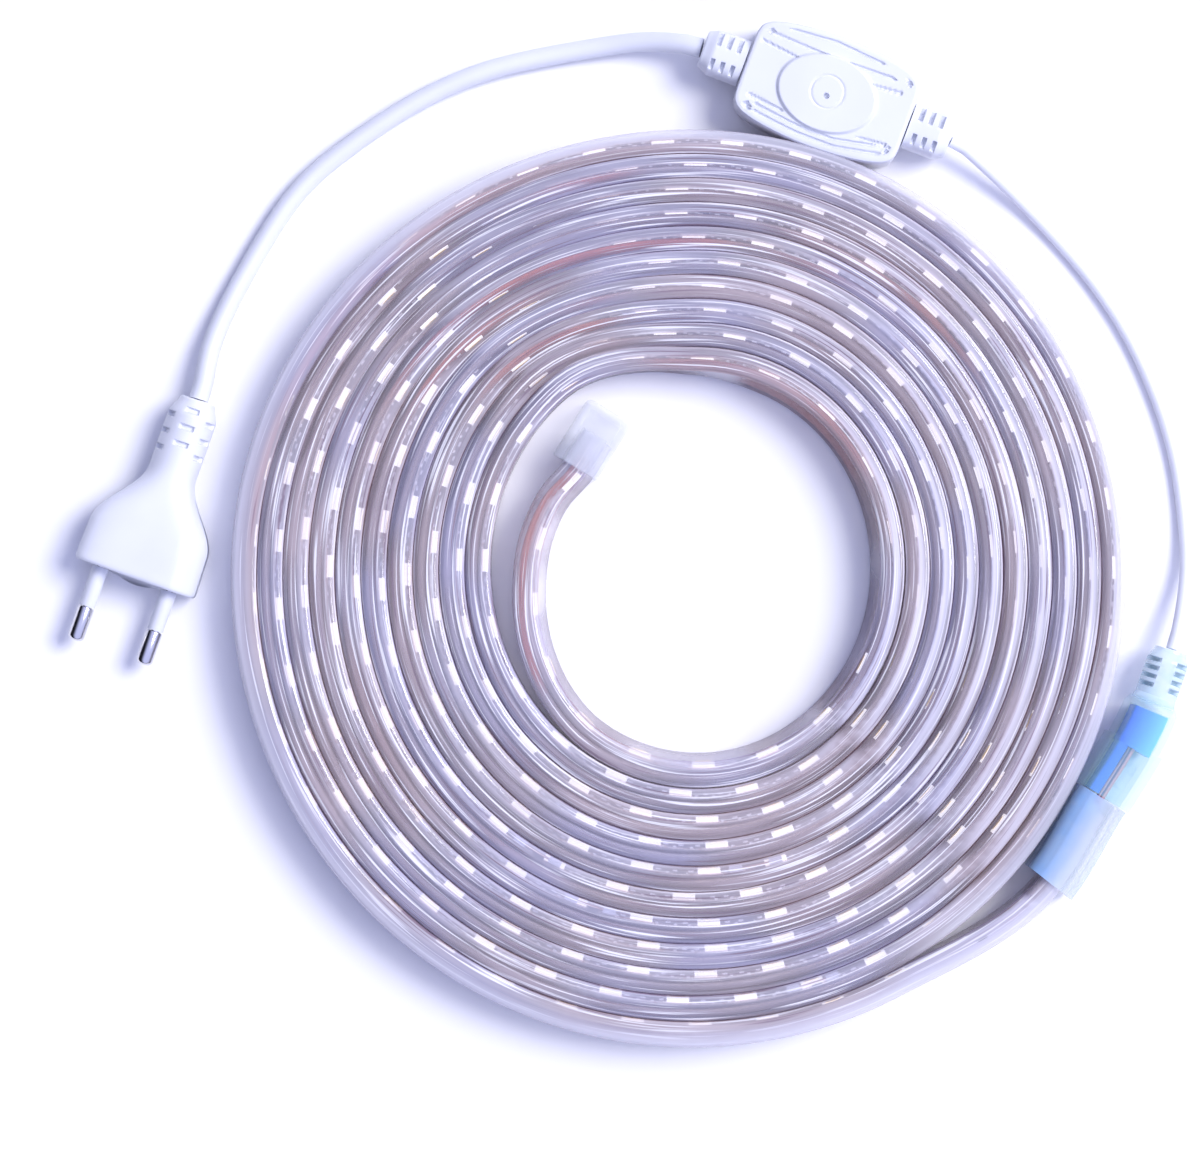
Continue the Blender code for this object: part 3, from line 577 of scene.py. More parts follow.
class Finish(Nodes):
    """A material on a Principled shader."""

    def __init__(self, name, colour, roughness, **sockets):
        self.material = bpy.data.materials.new(name)
        self.material.use_nodes = True
        super().__init__(self.material.node_tree)
        self.shader = self.tree.nodes["Principled BSDF"]
        self.put("Base Color", (*colour, 1))
        self.put("Roughness", roughness)
        for socket, value in sockets.items():
            self.put(socket.replace("_", " "), value)

    def put(self, socket, value):
        self.join(value, self.shader.inputs[socket])

    def relief(self, height, strength, distance):
        self.put("Normal", self.node("Bump", {"Height": height, "Strength": strength, "Distance": distance}))

    def vary(self, spots, *stops):
        self.put("Base Color", self.ramp(spots, stops))

    def mottle(self, spots, colour, depth, full=0.7):
        """The colour, and `depth` of it where the noise `spots` is high."""
        dark = tuple(depth * c for c in colour)
        self.put("Base Color", self.blend(self.ramp(spots, [(0.35, 0.0), (full, 1.0)]), colour, dark))


def moulded(name, colour, roughness, grain=0.25, **sockets):
    """Moulded plastic: slight mottling of the colour, and a fine grain in gloss and surface."""
    made = Finish(name, colour, roughness, **sockets)
    wide = made.noise(60, 3)
    made.mottle(wide, colour, 0.94)
    made.put("Roughness", made.node("MapRange", {"Value": wide, 3: roughness * 0.85, 4: roughness * 1.2}))
    made.relief(made.noise(2600, 2), grain, 0.00004)
    return made.material


def clear_strip_finish(settings):
    """Clear soft PVC with painted light: fine lines along it, the white ones painted highlight streaks and
    the dark ones drawn lines; a painted highlight on the side that the light meets; painted shade in the
    spaces between turns and low on the walls; and a paler painted tint where light comes through.

    The mesh's marks say where: lit (side of the light, painted highlight), gap (between turns, painted
    shade), depth (low on the walls, painted shade), clear (bare ends and outermost turn, paler tint), flank
    (sides that face east, where the painted highlight is fullest), wander and cloud (slow changes).
    """
    colour = tuple(settings.clear_colour)
    haze, painted_glow = settings.haze, settings.painted_glow
    made = Finish("clear_strip", colour, 0.13, IOR=1.9)
    marks = [made.mark(name) for name in ("gap_shade", "depth", "clear", "wander", "cloud", "highlight_flank")]
    gap_shade, depth, clear, wander, cloud, highlight_flank = marks
    painted_light = made.node("MapRange", {"Value": made.mark("painted_light"), 1: -1.0, 2: 1.0})
    fine = made.noise(240, 1, (0.12, 0.020, 1), uv=True)

    pink, blue = (0.70, 0.59, 0.62), (0.60, 0.58, 0.76)
    tint = made.ramp(wander, [(0.25, blue), (0.5, colour), (0.75, pink)])
    # Painted highlight: a near-white tint on the side that the light meets, fullest where the coil's sides
    # face east
    painted_highlight = made.ramp(painted_light, [(0.50, 0.0), (0.62, 0.9), (0.78, 0.7), (0.90, 1.0), (1.0, 1.0)])
    reach = made.node("MapRange", {"Value": highlight_flank, 3: 0.35, 4: 1.0})
    tint = made.blend(made.times(painted_highlight, reach), tint, (0.95, 0.92, 1.0))
    # Fine lines along the tube: the white ones are painted highlight streaks, the dark ones drawn lines in
    # the PVC
    tint = made.blend(made.ramp(fine, [(0.56, 0.0), (0.66, 1.0)]), tint, (1.0, 0.98, 1.0))
    tint = made.blend(made.ramp(fine, [(0.30, 0.9), (0.40, 0.0)]), tint, (0.28, 0.20, 0.25))
    # Painted shade low in the tube: a darker mauve, opaque, on the lower walls
    tint = made.blend(depth, tint, (0.47, 0.40, 0.44))
    # Painted light: a paler tint on the outermost turn's open side and on the ends inside the cap and
    # sleeve, where light comes through
    tint = made.blend(made.times(clear, 0.85), tint, (0.92, 0.91, 1.0))
    # Painted shade in the spaces between turns: dark purple-brown, and opaque, over the tube's steep upper
    # edges
    gap_shade_colour = made.ramp(wander, [(0.40, (0.30, 0.22, 0.38)), (0.60, (0.36, 0.21, 0.21))])
    made.put("Base Color", made.blend(gap_shade, tint, gap_shade_colour))

    # Painted highlight in the haze too: the pale tint is denser on the side that the light meets, with thin
    # painted rim highlights near both edges
    stops = [(0.0, haze), (0.10, haze * 1.8), (0.20, haze), (0.48, haze), (0.60, haze * 1.5)]
    flat = made.ramp(painted_light, [*stops, (0.86, haze * 1.5), (0.93, 0.75), (1.0, 0.5)])
    stops = [(0.0, haze), (0.10, haze * 1.8), (0.20, haze * 0.7), (0.46, haze), (0.56, haze + painted_glow * 1.5)]
    stops += [(0.74, haze + painted_glow), (0.86, haze), (0.93, 0.90), (1.0, 0.6)]
    cover = made.blend(highlight_flank, flat, made.ramp(painted_light, stops))
    lines = made.ramp(fine, [(0.30, 0.45), (0.40, 0.0), (0.56, 0.0), (0.70, 0.95)])
    cover = made.blend(lines, cover, (0.90, 0.90, 0.90))
    cover = made.blend(made.ramp(cloud, [(0.55, 0.0), (0.85, 0.35)]), cover, (0.75, 0.75, 0.75))
    cover = made.blend(depth, cover, (1.0, 1.0, 1.0))
    cover = made.blend(made.times(clear, 0.9), cover, (0.50, 0.50, 0.50))
    made.put("Alpha", made.blend(gap_shade, cover, (1.0, 1.0, 1.0)))
    return made.material


def clear_plastic(name, colour, alpha):
    """Clear hard plastic with slight swirls."""
    made = Finish(name, colour, 0.12, Alpha=alpha, IOR=1.49)
    made.mottle(made.noise(180, 3), colour, 0.82, 0.65)
    made.relief(made.noise(700, 2), 0.2, 0.00008)
    return made.material


def two_tone_plastic(name, colour, alpha, second, second_alpha):
    """Clear plastic whose tint and haze change to a second one, with darker marked lines: painted shade in
    the connector neck's slots, and a dark line along each edge of the sleeve.
    """
    made = Finish(name, colour, 0.14, IOR=1.6)
    share, line = made.mark("second"), made.mark("line")
    swirl = made.ramp(made.noise(220, 2), [(0.35, 0.0), (0.65, 1.0)])
    tint = made.blend(share, colour, second)
    tint = made.blend(made.times(swirl, 0.25), tint, tuple(0.8 * c for c in colour))
    # The marked lines are darker and more opaque: painted shade where they mark the slots
    made.put("Base Color", made.blend(line, tint, (0.25, 0.42, 0.50)))
    cover = made.blend(share, (alpha,) * 3, (second_alpha,) * 3)
    made.put("Alpha", made.blend(made.times(line, 0.8), cover, (0.85, 0.85, 0.85)))
    made.relief(made.noise(700, 2), 0.2, 0.00008)
    return made.material


def wire_finish(settings):
    """Stranded wire: twisted strands in the surface, grey-brown, and copper red on its warm stretches."""
    grey = tuple(settings.wire_colour)
    made = Finish("stranded_wire", grey, 0.38, Metallic=0.4)
    wander = made.noise(9, 2, (1, 0.01, 1), uv=True)
    violet, brown = (0.50, 0.46, 0.54), (0.44, 0.29, 0.28)
    base = made.ramp(wander, [(0.34, violet), (0.48, grey), (0.60, grey), (0.70, brown)])
    made.put("Base Color", made.blend(made.mark("warm"), base, (0.62, 0.15, 0.08)))
    coordinates = made.node("TexCoord", outlet="UV")
    twist = made.node("Mapping", {"Vector": coordinates, "Rotation": (0, 0, 0.6), "Scale": (900, 6, 1)})
    made.relief(made.node("TexWave", {"Vector": twist, "Scale": 1.0, "Distortion": 0.5}), 0.6, 0.0003)
    return made.material


def ribbon_finish():
    """The printed ribbon: white mask with pads and traces that repeat along it."""
    made = Finish("printed_ribbon", (0.62, 0.58, 0.60), 0.5)
    bricks = {
        "Vector": made.node("TexCoord", outlet="UV"),
        "Color1": (0.76, 0.69, 0.67, 1),
        "Color2": (0.68, 0.60, 0.62, 1),
        "Mortar": (0.50, 0.32, 0.26, 1),
        "Scale": 1.0,
        "Mortar Size": 0.0004,
        "Brick Width": 0.00833,
        "Row Height": 0.0032,
    }
    made.put("Base Color", made.node("TexBrick", bricks))
    return made.material


def cord_finish(name, colour):
    """Cord jacket: smooth soft white with slow bends in its gloss."""
    made = Finish(name, colour, 0.42)
    made.mottle(made.noise(35, 3), colour, 0.93)
    made.relief(made.noise(1500, 2), 0.15, 0.00005)
    return made.material


def nickel_finish():
    """Bright nickel with fine draw lines."""
    made = Finish("nickel", (0.72, 0.71, 0.72), 0.10, Metallic=1.0)
    lines = made.noise(1200, 2, (1, 0.05, 1))
    made.put("Roughness", made.node("MapRange", {"Value": lines, 3: 0.08, 4: 0.24}))
    made.relief(lines, 0.05, 0.00003)
    return made.material


# Assemblies and operators


def set_in(local, place, turn):
    """Local points (x, y, z) of an assembly, turned about Z and carried to its place round the coil."""
    degrees, off = place
    angle = math.radians(turn)
    x_axis = np.array([math.cos(angle), math.sin(angle), 0])
    y_axis = np.array([-math.sin(angle), math.cos(angle), 0])
    origin = np.array([*on_circle(COIL_CENTRE, RING_RADIUS + off, degrees), 0.0])
    local = np.asarray(local, float)
    return origin + local[..., :1] * x_axis + local[..., 1:2] * y_axis + local[..., 2:] * np.array([0, 0, 1])


def make_cord(node, points, diameter, material, exit_point):
    """A round cord in a node's place: a bevelled curve of one spline, on the smooth route of its points."""
    route = Route(points, 16)
    count = max(24, round(route.length / 0.004))
    places = route.points(np.linspace(0, route.length, count))
    name = f"{node}_jacket"
    curve = bpy.data.curves.new(name, "CURVE")
    curve.dimensions = "3D"
    curve.bevel_depth = diameter / 2
    curve.bevel_resolution = 5
    curve.use_fill_caps = True
    spline = curve.splines.new("POLY")
    spline.points.add(len(places) - 1)
    spline.points.foreach_set("co", np.column_stack([places, np.ones(len(places))]).ravel())
    curve.materials.append(material)
    thing = bpy.data.objects.new(name, curve)
    bpy.context.scene.collection.objects.link(thing)
    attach(thing, BODY)
    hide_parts(node)
    thing["exit"] = [float(v) for v in exit_point]
    thing["length"] = route.length


class Maker:
    """What each operator does: it makes its own pieces in the scene."""

    def execute(self, context):
        self.make(context.scene)
        return {"FINISHED"}


class STRIP_OT_stage(Maker, Operator):
    """Sets the floor, the soft light and the camera"""

    bl_idname = "strip.stage"
    bl_label = "Stage"

    def make(self, scene):
        settings = scene.strip_stage
        floor_mesh = bpy.data.meshes.new("floor")
        corners = [(-FLOOR_HALF, -FLOOR_HALF, 0), (FLOOR_HALF, -FLOOR_HALF, 0)]
        corners += [(FLOOR_HALF, FLOOR_HALF, 0), (-FLOOR_HALF, FLOOR_HALF, 0)]
        floor_mesh.from_pydata(corners, [], [(0, 1, 2, 3)])
        floor = bpy.data.objects.new("floor", floor_mesh)
        floor_finish = Finish("floor", tuple(settings.floor), 0.7, Specular_IOR_Level=0.1)
        floor_finish.relief(floor_finish.noise(300, 2), 0.02, 0.0001)
        floor_mesh.materials.append(floor_finish.material)
        scene.collection.objects.link(floor)

        sun_data = bpy.data.lights.new("key", "SUN")
        sun_data.energy = settings.sun
        sun_data.angle = math.radians(28)
        sun_data.color = (1.0, 0.985, 0.95)
        sun = bpy.data.objects.new("key", sun_data)
        sun.rotation_euler = (math.radians(-13), math.radians(35), 0)
        scene.collection.objects.link(sun)

        world = bpy.data.worlds.new("studio")
        world.use_nodes = True
        sky = Nodes(world.node_tree)
        around = sky.node("TexCoord", outlet="Generated")
        parts = sky.node("SeparateXYZ", {0: around}).node.outputs
        shade = sky.ramp(parts[2], [(0.02, (0.16, 0.16, 0.20)), (0.45, (0.58, 0.62, 1.0))])
        panel = sky.node("MapRange", {"Value": parts[0], 1: -0.68, 2: -0.15, 3: 0.02, 4: 1.0})
        background = sky.tree.nodes["Background"].inputs
        sky.join(shade, background["Color"])
        sky.join(sky.times(panel, 1.22), background["Strength"])
        scene.world = world
        scene.view_settings.view_transform = "Standard"

        camera_data = bpy.data.cameras.new("camera")
        camera_data.sensor_width = SENSOR_WIDTH
        camera_data.lens = SENSOR_WIDTH * (settings.camera_height - VIEW_LEVEL) / settings.view_width
        camera_data.clip_end = 20
        camera = bpy.data.objects.new("camera", camera_data)
        camera.location = (settings.view_x, settings.view_y, settings.camera_height)
        scene.collection.objects.link(camera)
        scene.camera = camera


class STRIP_OT_cords(Maker, Operator):
    """Lays the two cords between plug, box and connector"""

    bl_idname = "strip.cords"
    bl_label = "Cords"

    def make(self, scene):
        settings = scene.strip_lead
        white = cord_finish("white_cord", tuple(settings.white))
        box_reach = BOX_LENGTH / 2 + GAP + BOX_RELIEF_LENGTH
        plug_reach = PLUG_BODY_LENGTH + PLUG_RELIEF_LENGTH
        out, straight = GAP, CORD_STRAIGHT_END

        def at_box(sign, beyond):
            return set_in((sign * (box_reach + beyond), 0, BOX_MIDDLE), BOX_PLACE, BOX_TURN)

        def at_plug(beyond):
            return set_in((0, plug_reach + beyond, PLUG_MIDDLE), PLUG_PLACE, PLUG_TURN)

        route = strip_route()
        end, heading = route.points([route.length])[0], route.headings([route.length])[0]
        to_plug = [at_box(-1, out), at_box(-1, straight), *PLUG_CORD_POINTS, at_plug(straight), at_plug(out)]
        to_strip = [at_box(1, out), at_box(1, straight), *STRIP_CORD_POINTS]
        to_strip += [end + heading * straight, end + heading * out]
        make_cord("plug_cord", to_plug, settings.plug_cord, white, to_plug[0])
        make_cord("strip_cord", to_strip[::-1], settings.strip_cord, white, to_strip[-1])


class STRIP_OT_tube(Maker, Operator):
    """Makes the clear tube of the strip"""

    bl_idname = "strip.tube"
    bl_label = "Clear tube"

    def make(self, scene):
        settings = scene.strip_strip
        route = strip_route()
        end = route.length - CONNECTOR_LENGTH + STRIP_INSERTION
        distances = np.linspace(0, end, round(end / settings.station) + 1)
        half, top = settings.thickness / 2, settings.height / 2
        seed, steps = scene.strip_stage.seed, 5
        across, up = rounded_section(settings.thickness, settings.height, settings.corner, steps)
        turn = np.linspace(0, 1, steps + 1)
        steep = np.concatenate([1 - turn, turn, 1 - turn, turn])
        upper = up > 0
        wall = top - settings.corner - 0.0009
        across = np.insert(across, [2 * steps + 2, len(across)], [-half, half])
        up = np.insert(up, [2 * steps + 2, len(up)], [wall, wall])
        # Painted shade: the steep upper edges, where the turns meet, are marked to be dark
        gap_shade = smooth_step((steep - 0.66) / 0.30) * upper
        gap_shade = np.insert(gap_shade, [2 * steps + 2, len(gap_shade)], [0.0, 0.0])

        foot = (up / settings.height - 0.5)[None, :] * lean_at(settings, distances)[:, None]
        shape = (len(distances), len(across))
        last = last_turn(route, distances)[:, None]
        first = lean_at(settings, distances)[:, None] / settings.lean
        open_side = last * (across > 0) + first * (across < 0)
        covered = smooth_step((distances - route.length + CONNECTOR_LENGTH) / 0.003)
        covered = np.maximum(covered, smooth_step((CAP_INSERTION - distances) / 0.003))
        spread = np.broadcast_to(distances[:, None], shape)
        marks = {
            # Painted highlight: 1 at the edge that the key light meets, -1 at the far edge
            "painted_light": lit_side(route, distances)[:, None] * (across / half)[None, :],
            "gap_shade": gap_shade[None, :] * (1 - 0.2 * open_side),
            # Painted shade, darker and opaque, low on the walls
            "depth": np.broadcast_to(np.clip(-up / top, 0, 1) * (np.abs(across) < half * 0.999), shape),
            # Paler painted tint where light comes through: the outermost turn's open side and the covered
            # ends
            "clear": np.maximum(last * smooth_step(across / half / 0.6)[None, :], covered[:, None]),
            "wander": np.broadcast_to(waves(distances, 0.06, 0.30, seed)[:, None], shape),
            "cloud": waves(spread, 0.04, 0.2, seed + 1, across / half * 3),
            # Where the painted highlight is fullest: outer sides that face east
            "highlight_flank": np.broadcast_to(np.clip(route.sides(distances)[:, :1], 0, 1) ** 2, shape),
        }
        uv = np.stack(np.broadcast_arrays(distances[:, None], (across / half)[None, :]), axis=-1)
        grid_piece(
            "strip_tube",
            route.placed(distances, across[None, :] * swell(route, distances)[:, None] + foot, up[None, :]),
            clear_strip_finish(settings),
            "clear_strip",
            ["strip_coil"],
            smooth=50,
            uv=uv,
            marks=marks,
        )


class STRIP_OT_ribbon(Maker, Operator):
    """Makes the printed ribbon and the two stranded wires inside the tube"""

    bl_idname = "strip.ribbon"
    bl_label = "Ribbon and wires"

    def make(self, scene):
        settings = scene.strip_strip
        route = strip_route()
        end = route.length - CONNECTOR_LENGTH + STRIP_INSERTION - 0.001
        distances = np.linspace(0.001, end, round(end / settings.station) + 1)

        def sweep(name, across, up, shift, material, slot, smooth=50):
            foot = (up / settings.height - 0.5)[None, :] * lean_at(settings, distances)[:, None]
            grid = route.placed(distances, across[None, :] + shift[:, None] + foot, up[None, :])
            around = up if name == "printed_ribbon" else np.linspace(0, 1, len(across))
            uv = np.stack(np.broadcast_arrays(distances[:, None], around[None, :]), axis=-1)
            warm = np.repeat(warmth(route, distances)[:, None], len(across), 1)
            return grid_piece(name, grid, material, slot, smooth=smooth, uv=uv, marks={"warm": warm})

        across, up = rounded_section(RIBBON_THICKNESS, RIBBON_WIDTH, 0.0001, 1)
        ribbon = led_shift(route, distances) + 0.0009
        sweep("printed_ribbon", across, up, ribbon, ribbon_finish(), "white_plastic")
        wire = wire_finish(settings)
        across_wire, up_wire = round_section(WIRE_RADIUS, 10)
        for name, height in (("upper_wire", WIRE_HEIGHT), ("lower_wire", -WIRE_HEIGHT)):
            shift = wire_shift(route, distances)
            sweep(name, across_wire * 1.15, up_wire + height, shift, wire, "contact_copper")


def lens_disc():
    """An LED's round lens, as points and faces: two rings across the ribbon and a face over each."""
    angle = np.linspace(0, 2 * math.pi, 12, endpoint=False)
    rings = []
    for radius, across in ((0.0021, -0.00070), (0.0017, -0.00084)):
        rings.append(np.stack([radius * np.cos(angle), np.full(12, across), radius * np.sin(angle)], axis=1))
    faces = [[k, (k + 1) % 12, (k + 1) % 12 + 12, k + 12] for k in range(12)]
    faces += [[12 + k, 13 + k, 22 - k, 23 - k] for k in range(5)]
    faces += [[11 - k, 10 - k, k + 1, k] for k in range(5)]
    return np.concatenate(rings), faces


class STRIP_OT_leds(Maker, Operator):
    """Places the LEDs, their lenses, pads, resistors and solder joints along the ribbon"""

    bl_idname = "strip.leds"
    bl_label = "LEDs"

    def make(self, scene):
        settings = scene.strip_strip
        route = strip_route()
        pitch, half = settings.led_pitch, settings.led_length / 2
        leds = np.arange(FIRST_LED, route.length - CONNECTOR_LENGTH - 0.004, pitch)
        joints = np.array([route.nearest(degrees, radius) for degrees, radius in JOINTS])
        ends = np.concatenate([joints - 0.0052, joints + 0.0048])
        scatter = np.random.default_rng(scene.strip_stage.seed)
        beads = [leds[:-1] + pitch * share for share in (0.26, 0.4, 0.5, 0.62, 0.74)]
        beads = np.sort(np.concatenate(beads))
        beads = beads + scatter.uniform(-0.0006, 0.0006, len(beads))
        between = (leds[:-1] + pitch / 2)[::3]

        # Painted glow: the LEDs are unlit, but their white bodies get a faint emission so they stay white
        # under the tube's haze
        painted_glow = {"Emission_Color": (1, 0.98, 1, 1), "Emission_Strength": 0.72}
        white = moulded("led_body", (0.95, 0.93, 0.96), 0.3, 0.1, **painted_glow)
        lens = Finish("phosphor", (0.86, 0.62, 0.10), 0.35)
        lens.vary(lens.noise(900), (0.3, (0.90, 0.70, 0.16)), (0.7, (0.78, 0.52, 0.06)))
        pad = Finish("led_pad", (0.72, 0.60, 0.56), 0.5)
        pad.vary(pad.noise(60, 1), (0.38, (0.70, 0.66, 0.58)), (0.62, (0.80, 0.58, 0.62)))
        bead = Finish("solder_bead", (0.88, 0.85, 0.88), 0.3, Metallic=0.2).material
        black = moulded("resistor", (0.045, 0.04, 0.06), 0.4, 0.1)
        solder = Finish("solder", (0.78, 0.77, 0.80), 0.28, Metallic=0.8)
        solder.relief(solder.noise(1400, 2), 0.4, 0.0002)
        copper = Finish("joint_copper", (0.60, 0.22, 0.12), 0.35, Metallic=0.6).material

        cut, deep = chamfered_block, LED_HALF_THICKNESS
        body = cut((-half, -deep, -0.0025), (half, deep, 0.0034), 0.00012)
        back = cut((-half * 1.15, deep, -0.0021), (half * 1.15, 0.00130, 0.0027), 0.0001)
        tall_bead = cut((-0.0006, -0.0002, 0.0018), (0.0006, 0.0003, 0.0036), 0.00008)
        low_bead = cut((-0.0004, 0.0003, 0.0018), (0.0004, 0.0008, 0.0036), 0.00008)
        resistor = cut((0.0004, 0.0001, 0.0024), (0.0026, 0.00075, 0.0036), 0.0001)
        lump = cut((-0.0016, -0.0013, 0.0041), (0.0016, 0.0009, 0.0051), 0.0003)
        link = cut((-0.0052, -0.0004, 0.0043), (0.0048, 0.0001, 0.0048), 0.0001)
        chip = cut((-0.0012, 0.0003, 0.0042), (0.0014, 0.0015, 0.0049), 0.0002)
        rows = [
            ("led_bodies", body, leds, white, "white_plastic"),
            ("led_lenses", lens_disc(), leds, lens.material, "white_plastic"),
            ("led_pads", back, leds, pad.material, "white_plastic"),
            ("solder_beads", tall_bead, beads[::2], bead, "white_plastic"),
            ("solder_dots", low_bead, beads[1::2], bead, "white_plastic"),
            ("resistors", resistor, between, black, "white_plastic"),
            ("joint_solder", lump, ends, solder.material, "nickel"),
            ("joint_links", link, joints, copper, "contact_copper"),
            ("joint_chips", chip, joints + 0.0006, black, "white_plastic"),
        ]
        for name, (template, faces), places, material, slot in rows:
            shift = led_shift(route, places) - lean_at(settings, places) * 0.4
            points, listed = copies(template, faces, route, places, shift)
            piece(name, new_mesh(name, points, listed, 30), material, slot)


class STRIP_OT_end_cap(Maker, Operator):
    """Makes the clear end cap with its pocket"""

    bl_idname = "strip.end_cap"
    bl_label = "End cap"

    def make(self, scene):
        mouth = np.array([*cap_mouth(), RAISED_HEIGHT])
        angle = math.radians(CAP_HEADING)
        heading = np.array([math.cos(angle), math.sin(angle), 0])
        side = np.array([heading[1], -heading[0], 0])
        rows = [
            (CAP_INSERTION + GAP, 0.0030, 0.0080, 0.0005),
            (CAP_INSERTION + GAP, *BORE_SECTION),
            (0.0, *BORE_SECTION),
            (0.0, 0.0118, 0.0166, 0.0019),
            (0.0002, 0.0122, 0.0170, 0.0020),
            (CAP_LENGTH - 0.0016, 0.0122, 0.0170, 0.0020),
            (CAP_LENGTH - 0.0007, 0.0117, 0.0165, 0.0020),
            (CAP_LENGTH - 0.0002, 0.0108, 0.0156, 0.0020),
            (CAP_LENGTH, 0.0096, 0.0144, 0.0018),
        ]
        rings = []
        for distance, *section in rows:
            across, up = (values[:, None] for values in rounded_section(*section))
            rings.append(mouth + heading * distance + side * across + np.array([0, 0, 1]) * up)
        clear = clear_plastic("clear_cap", (0.90, 0.94, 1.0), 0.26)
        grid_piece("end_cap_shell", np.array(rings), clear, "clear_cap", ["end_cap"], smooth=30)


class STRIP_OT_connector(Maker, Operator):
    """Makes the power connector: sleeve, body, core and contacts"""

    bl_idname = "strip.connector"
    bl_label = "Connector"

    def make(self, scene):
        route = strip_route()
        mouth = route.length - CONNECTOR_LENGTH
        body_start = mouth + SLEEVE_LENGTH + GAP

        def ring(distance, section, shift=0.0):
            across, up = section
            return route.placed(np.array([distance]), across + shift, up)[0]

        self.sleeve(ring, mouth)
        self.body(ring, body_start, body_start + BODY_LENGTH, route.length)
        core = mouth + SLEEVE_LENGTH + POCKET_DEPTH - CORE_LENGTH
        self.core(ring, core, tuple(scene.strip_lead.blue))

        copper = Finish("contact_metal", (0.72, 0.40, 0.38), 0.3, Metallic=0.7).material
        tip = core + CONTACT_ROOT - CONTACT_LENGTH
        across, up = round_section(0.0006, 12)
        nose = round_section(0.0003, 12)
        for name, height in (("lower", -CONTACT_HEIGHT), ("upper", CONTACT_HEIGHT)):
            rings = [ring(tip, (nose[0], nose[1] + height)), ring(tip + 0.0006, (across, up + height))]
            shaft = np.linspace(tip + 0.002, core + CONTACT_ROOT, 6)
            rings += [ring(d, (across, up + height)) for d in shaft]
            node = f"connector_contact_{name}"
            grid_piece(f"connector_pin_{name}", np.array(rings), copper, "contact_copper", [node])

    def sleeve(self, ring, mouth):
        """The sleeve over the strip's end: bluer on its left, with a dark line along each edge."""
        clear = two_tone_plastic("sleeve_clear", (0.92, 1.0, 1.0), 0.22, (0.34, 0.60, 1.0), 0.55)
        wide, bore = rounded_section(0.0128, 0.0170, 0.0022), rounded_section(*BORE_SECTION)
        stations = np.linspace(mouth, mouth + SLEEVE_LENGTH, 9)
        rings = [ring(d, wide) for d in stations] + [ring(d, bore) for d in stations[::-1]]
        left = 1 - smooth_step((wide[0] + 0.0030) / 0.0012)
        edge = smooth_step((np.abs(wide[0]) - 0.0056) / 0.0006) * 0.6
        marks = {"second": np.tile(left, (len(rings), 1)), "line": np.tile(edge, (len(rings), 1))}
        grid_piece(
            "connector_sleeve_shell", np.array(rings), clear, "tinted_clear", ["connector_sleeve"],
            round_rows=True, marks=marks,
        )

    def body(self, ring, start, neck, end):
        """The body: a rimmed mouth with a pocket, a shoulder, and a round neck with rows of slots."""
        clear = two_tone_plastic("body_clear", (0.48, 0.90, 0.96), 0.15, (0.82, 0.95, 1.0), 0.62)
        rim, wide = rounded_section(0.0142, 0.0170, 0.0022), rounded_section(0.0124, 0.0160, 0.0022)
        shoulder, pocket = rounded_section(0.0124, 0.0154, 0.0029), rounded_section(0.0092, 0.0130, 0.0008)
        levels = [(start + POCKET_DEPTH, rounded_section(0.0046, 0.0070, 0.0006))]
        levels += [(d, pocket) for d in np.linspace(start + POCKET_DEPTH, start, 7)]
        levels += [(start + k * 0.0037, rim) for k in range(5)]
        levels += [(start + 0.0150, wide), (start + 0.0190, wide), (neck - 0.0015, shoulder)]
        for k, share in enumerate((0.35, 0.75, 1.0)):
            width, height = 0.0124 - 0.0024 * share, 0.0154 - 0.0054 * share
            section = rounded_section(width, height, 0.0029 + 0.0016 * share)
            levels.append((neck - 0.0015 + 0.001 * (k + 1), section))
        across, up = rounded_section(0.0100, 0.0100, 0.0045)
        plain = np.zeros((len(levels), len(across)))
        turns = (40, 140, 220, 320)
        slots = [(0.0022 + 0.0021 * row, 0.0005, turn, 24) for row in range(4) for turn in turns]
        neck_length, depth, cuts = end - neck - 0.0016, 0.0013, []
        for along in np.linspace(0, neck_length, 70):
            cut = slotted(np.arctan2(up, across), along, slots, depth)
            narrow = 1 - 0.22 * smooth_step((along / neck_length - 0.72) / 0.28)
            share = narrow * (1 - cut / np.hypot(across, up))
            levels.append((neck + 0.0016 + along, (across * share, up * share)))
            cuts.append(cut / depth)
        pale = smooth_step((np.array([d for d, _ in levels]) - neck + 0.0015) / 0.003)
        # The slots are marked by their depth, so the finish darkens them: painted shade in the recesses
        marks = {"second": np.repeat(pale[:, None], len(across), 1), "line": np.concatenate([plain, cuts])}
        rings = np.array([ring(d, s) for d, s in levels])
        grid_piece("connector_body_shell", rings, clear, "tinted_clear", ["connector_body"], marks=marks)

    def core(self, ring, start, colour):
        """The blue core: a tongue towards the strip and a block, darker on its left."""
        blue = Finish("core_blue", colour, 0.25)
        blue.put("Base Color", blue.blend(blue.mark("shade"), (0.20, 0.60, 0.98), colour))
        block = rounded_section(CORE_WIDTH, 0.0124, 0.0006, 3)
        tongue = rounded_section(TONGUE_WIDTH, 0.0118, 0.0005, 3)
        shift = GAP - (CORE_WIDTH - TONGUE_WIDTH) / 2
        rings = [ring(d, tongue, shift) for d in np.linspace(start - TONGUE_LENGTH, start, 5)]
        rings += [ring(d, block) for d in np.linspace(start, start + CORE_LENGTH, 4)]
        shade = [np.full(len(tongue[0]), 0.8)] * 5 + [1 - smooth_step((block[0] - 0.0004) / 0.001)] * 4
        grid_piece(
            "connector_core_block", np.array(rings), blue.material, "blue_core", ["connector_core"],
            marks={"shade": np.array(shade)},
        )


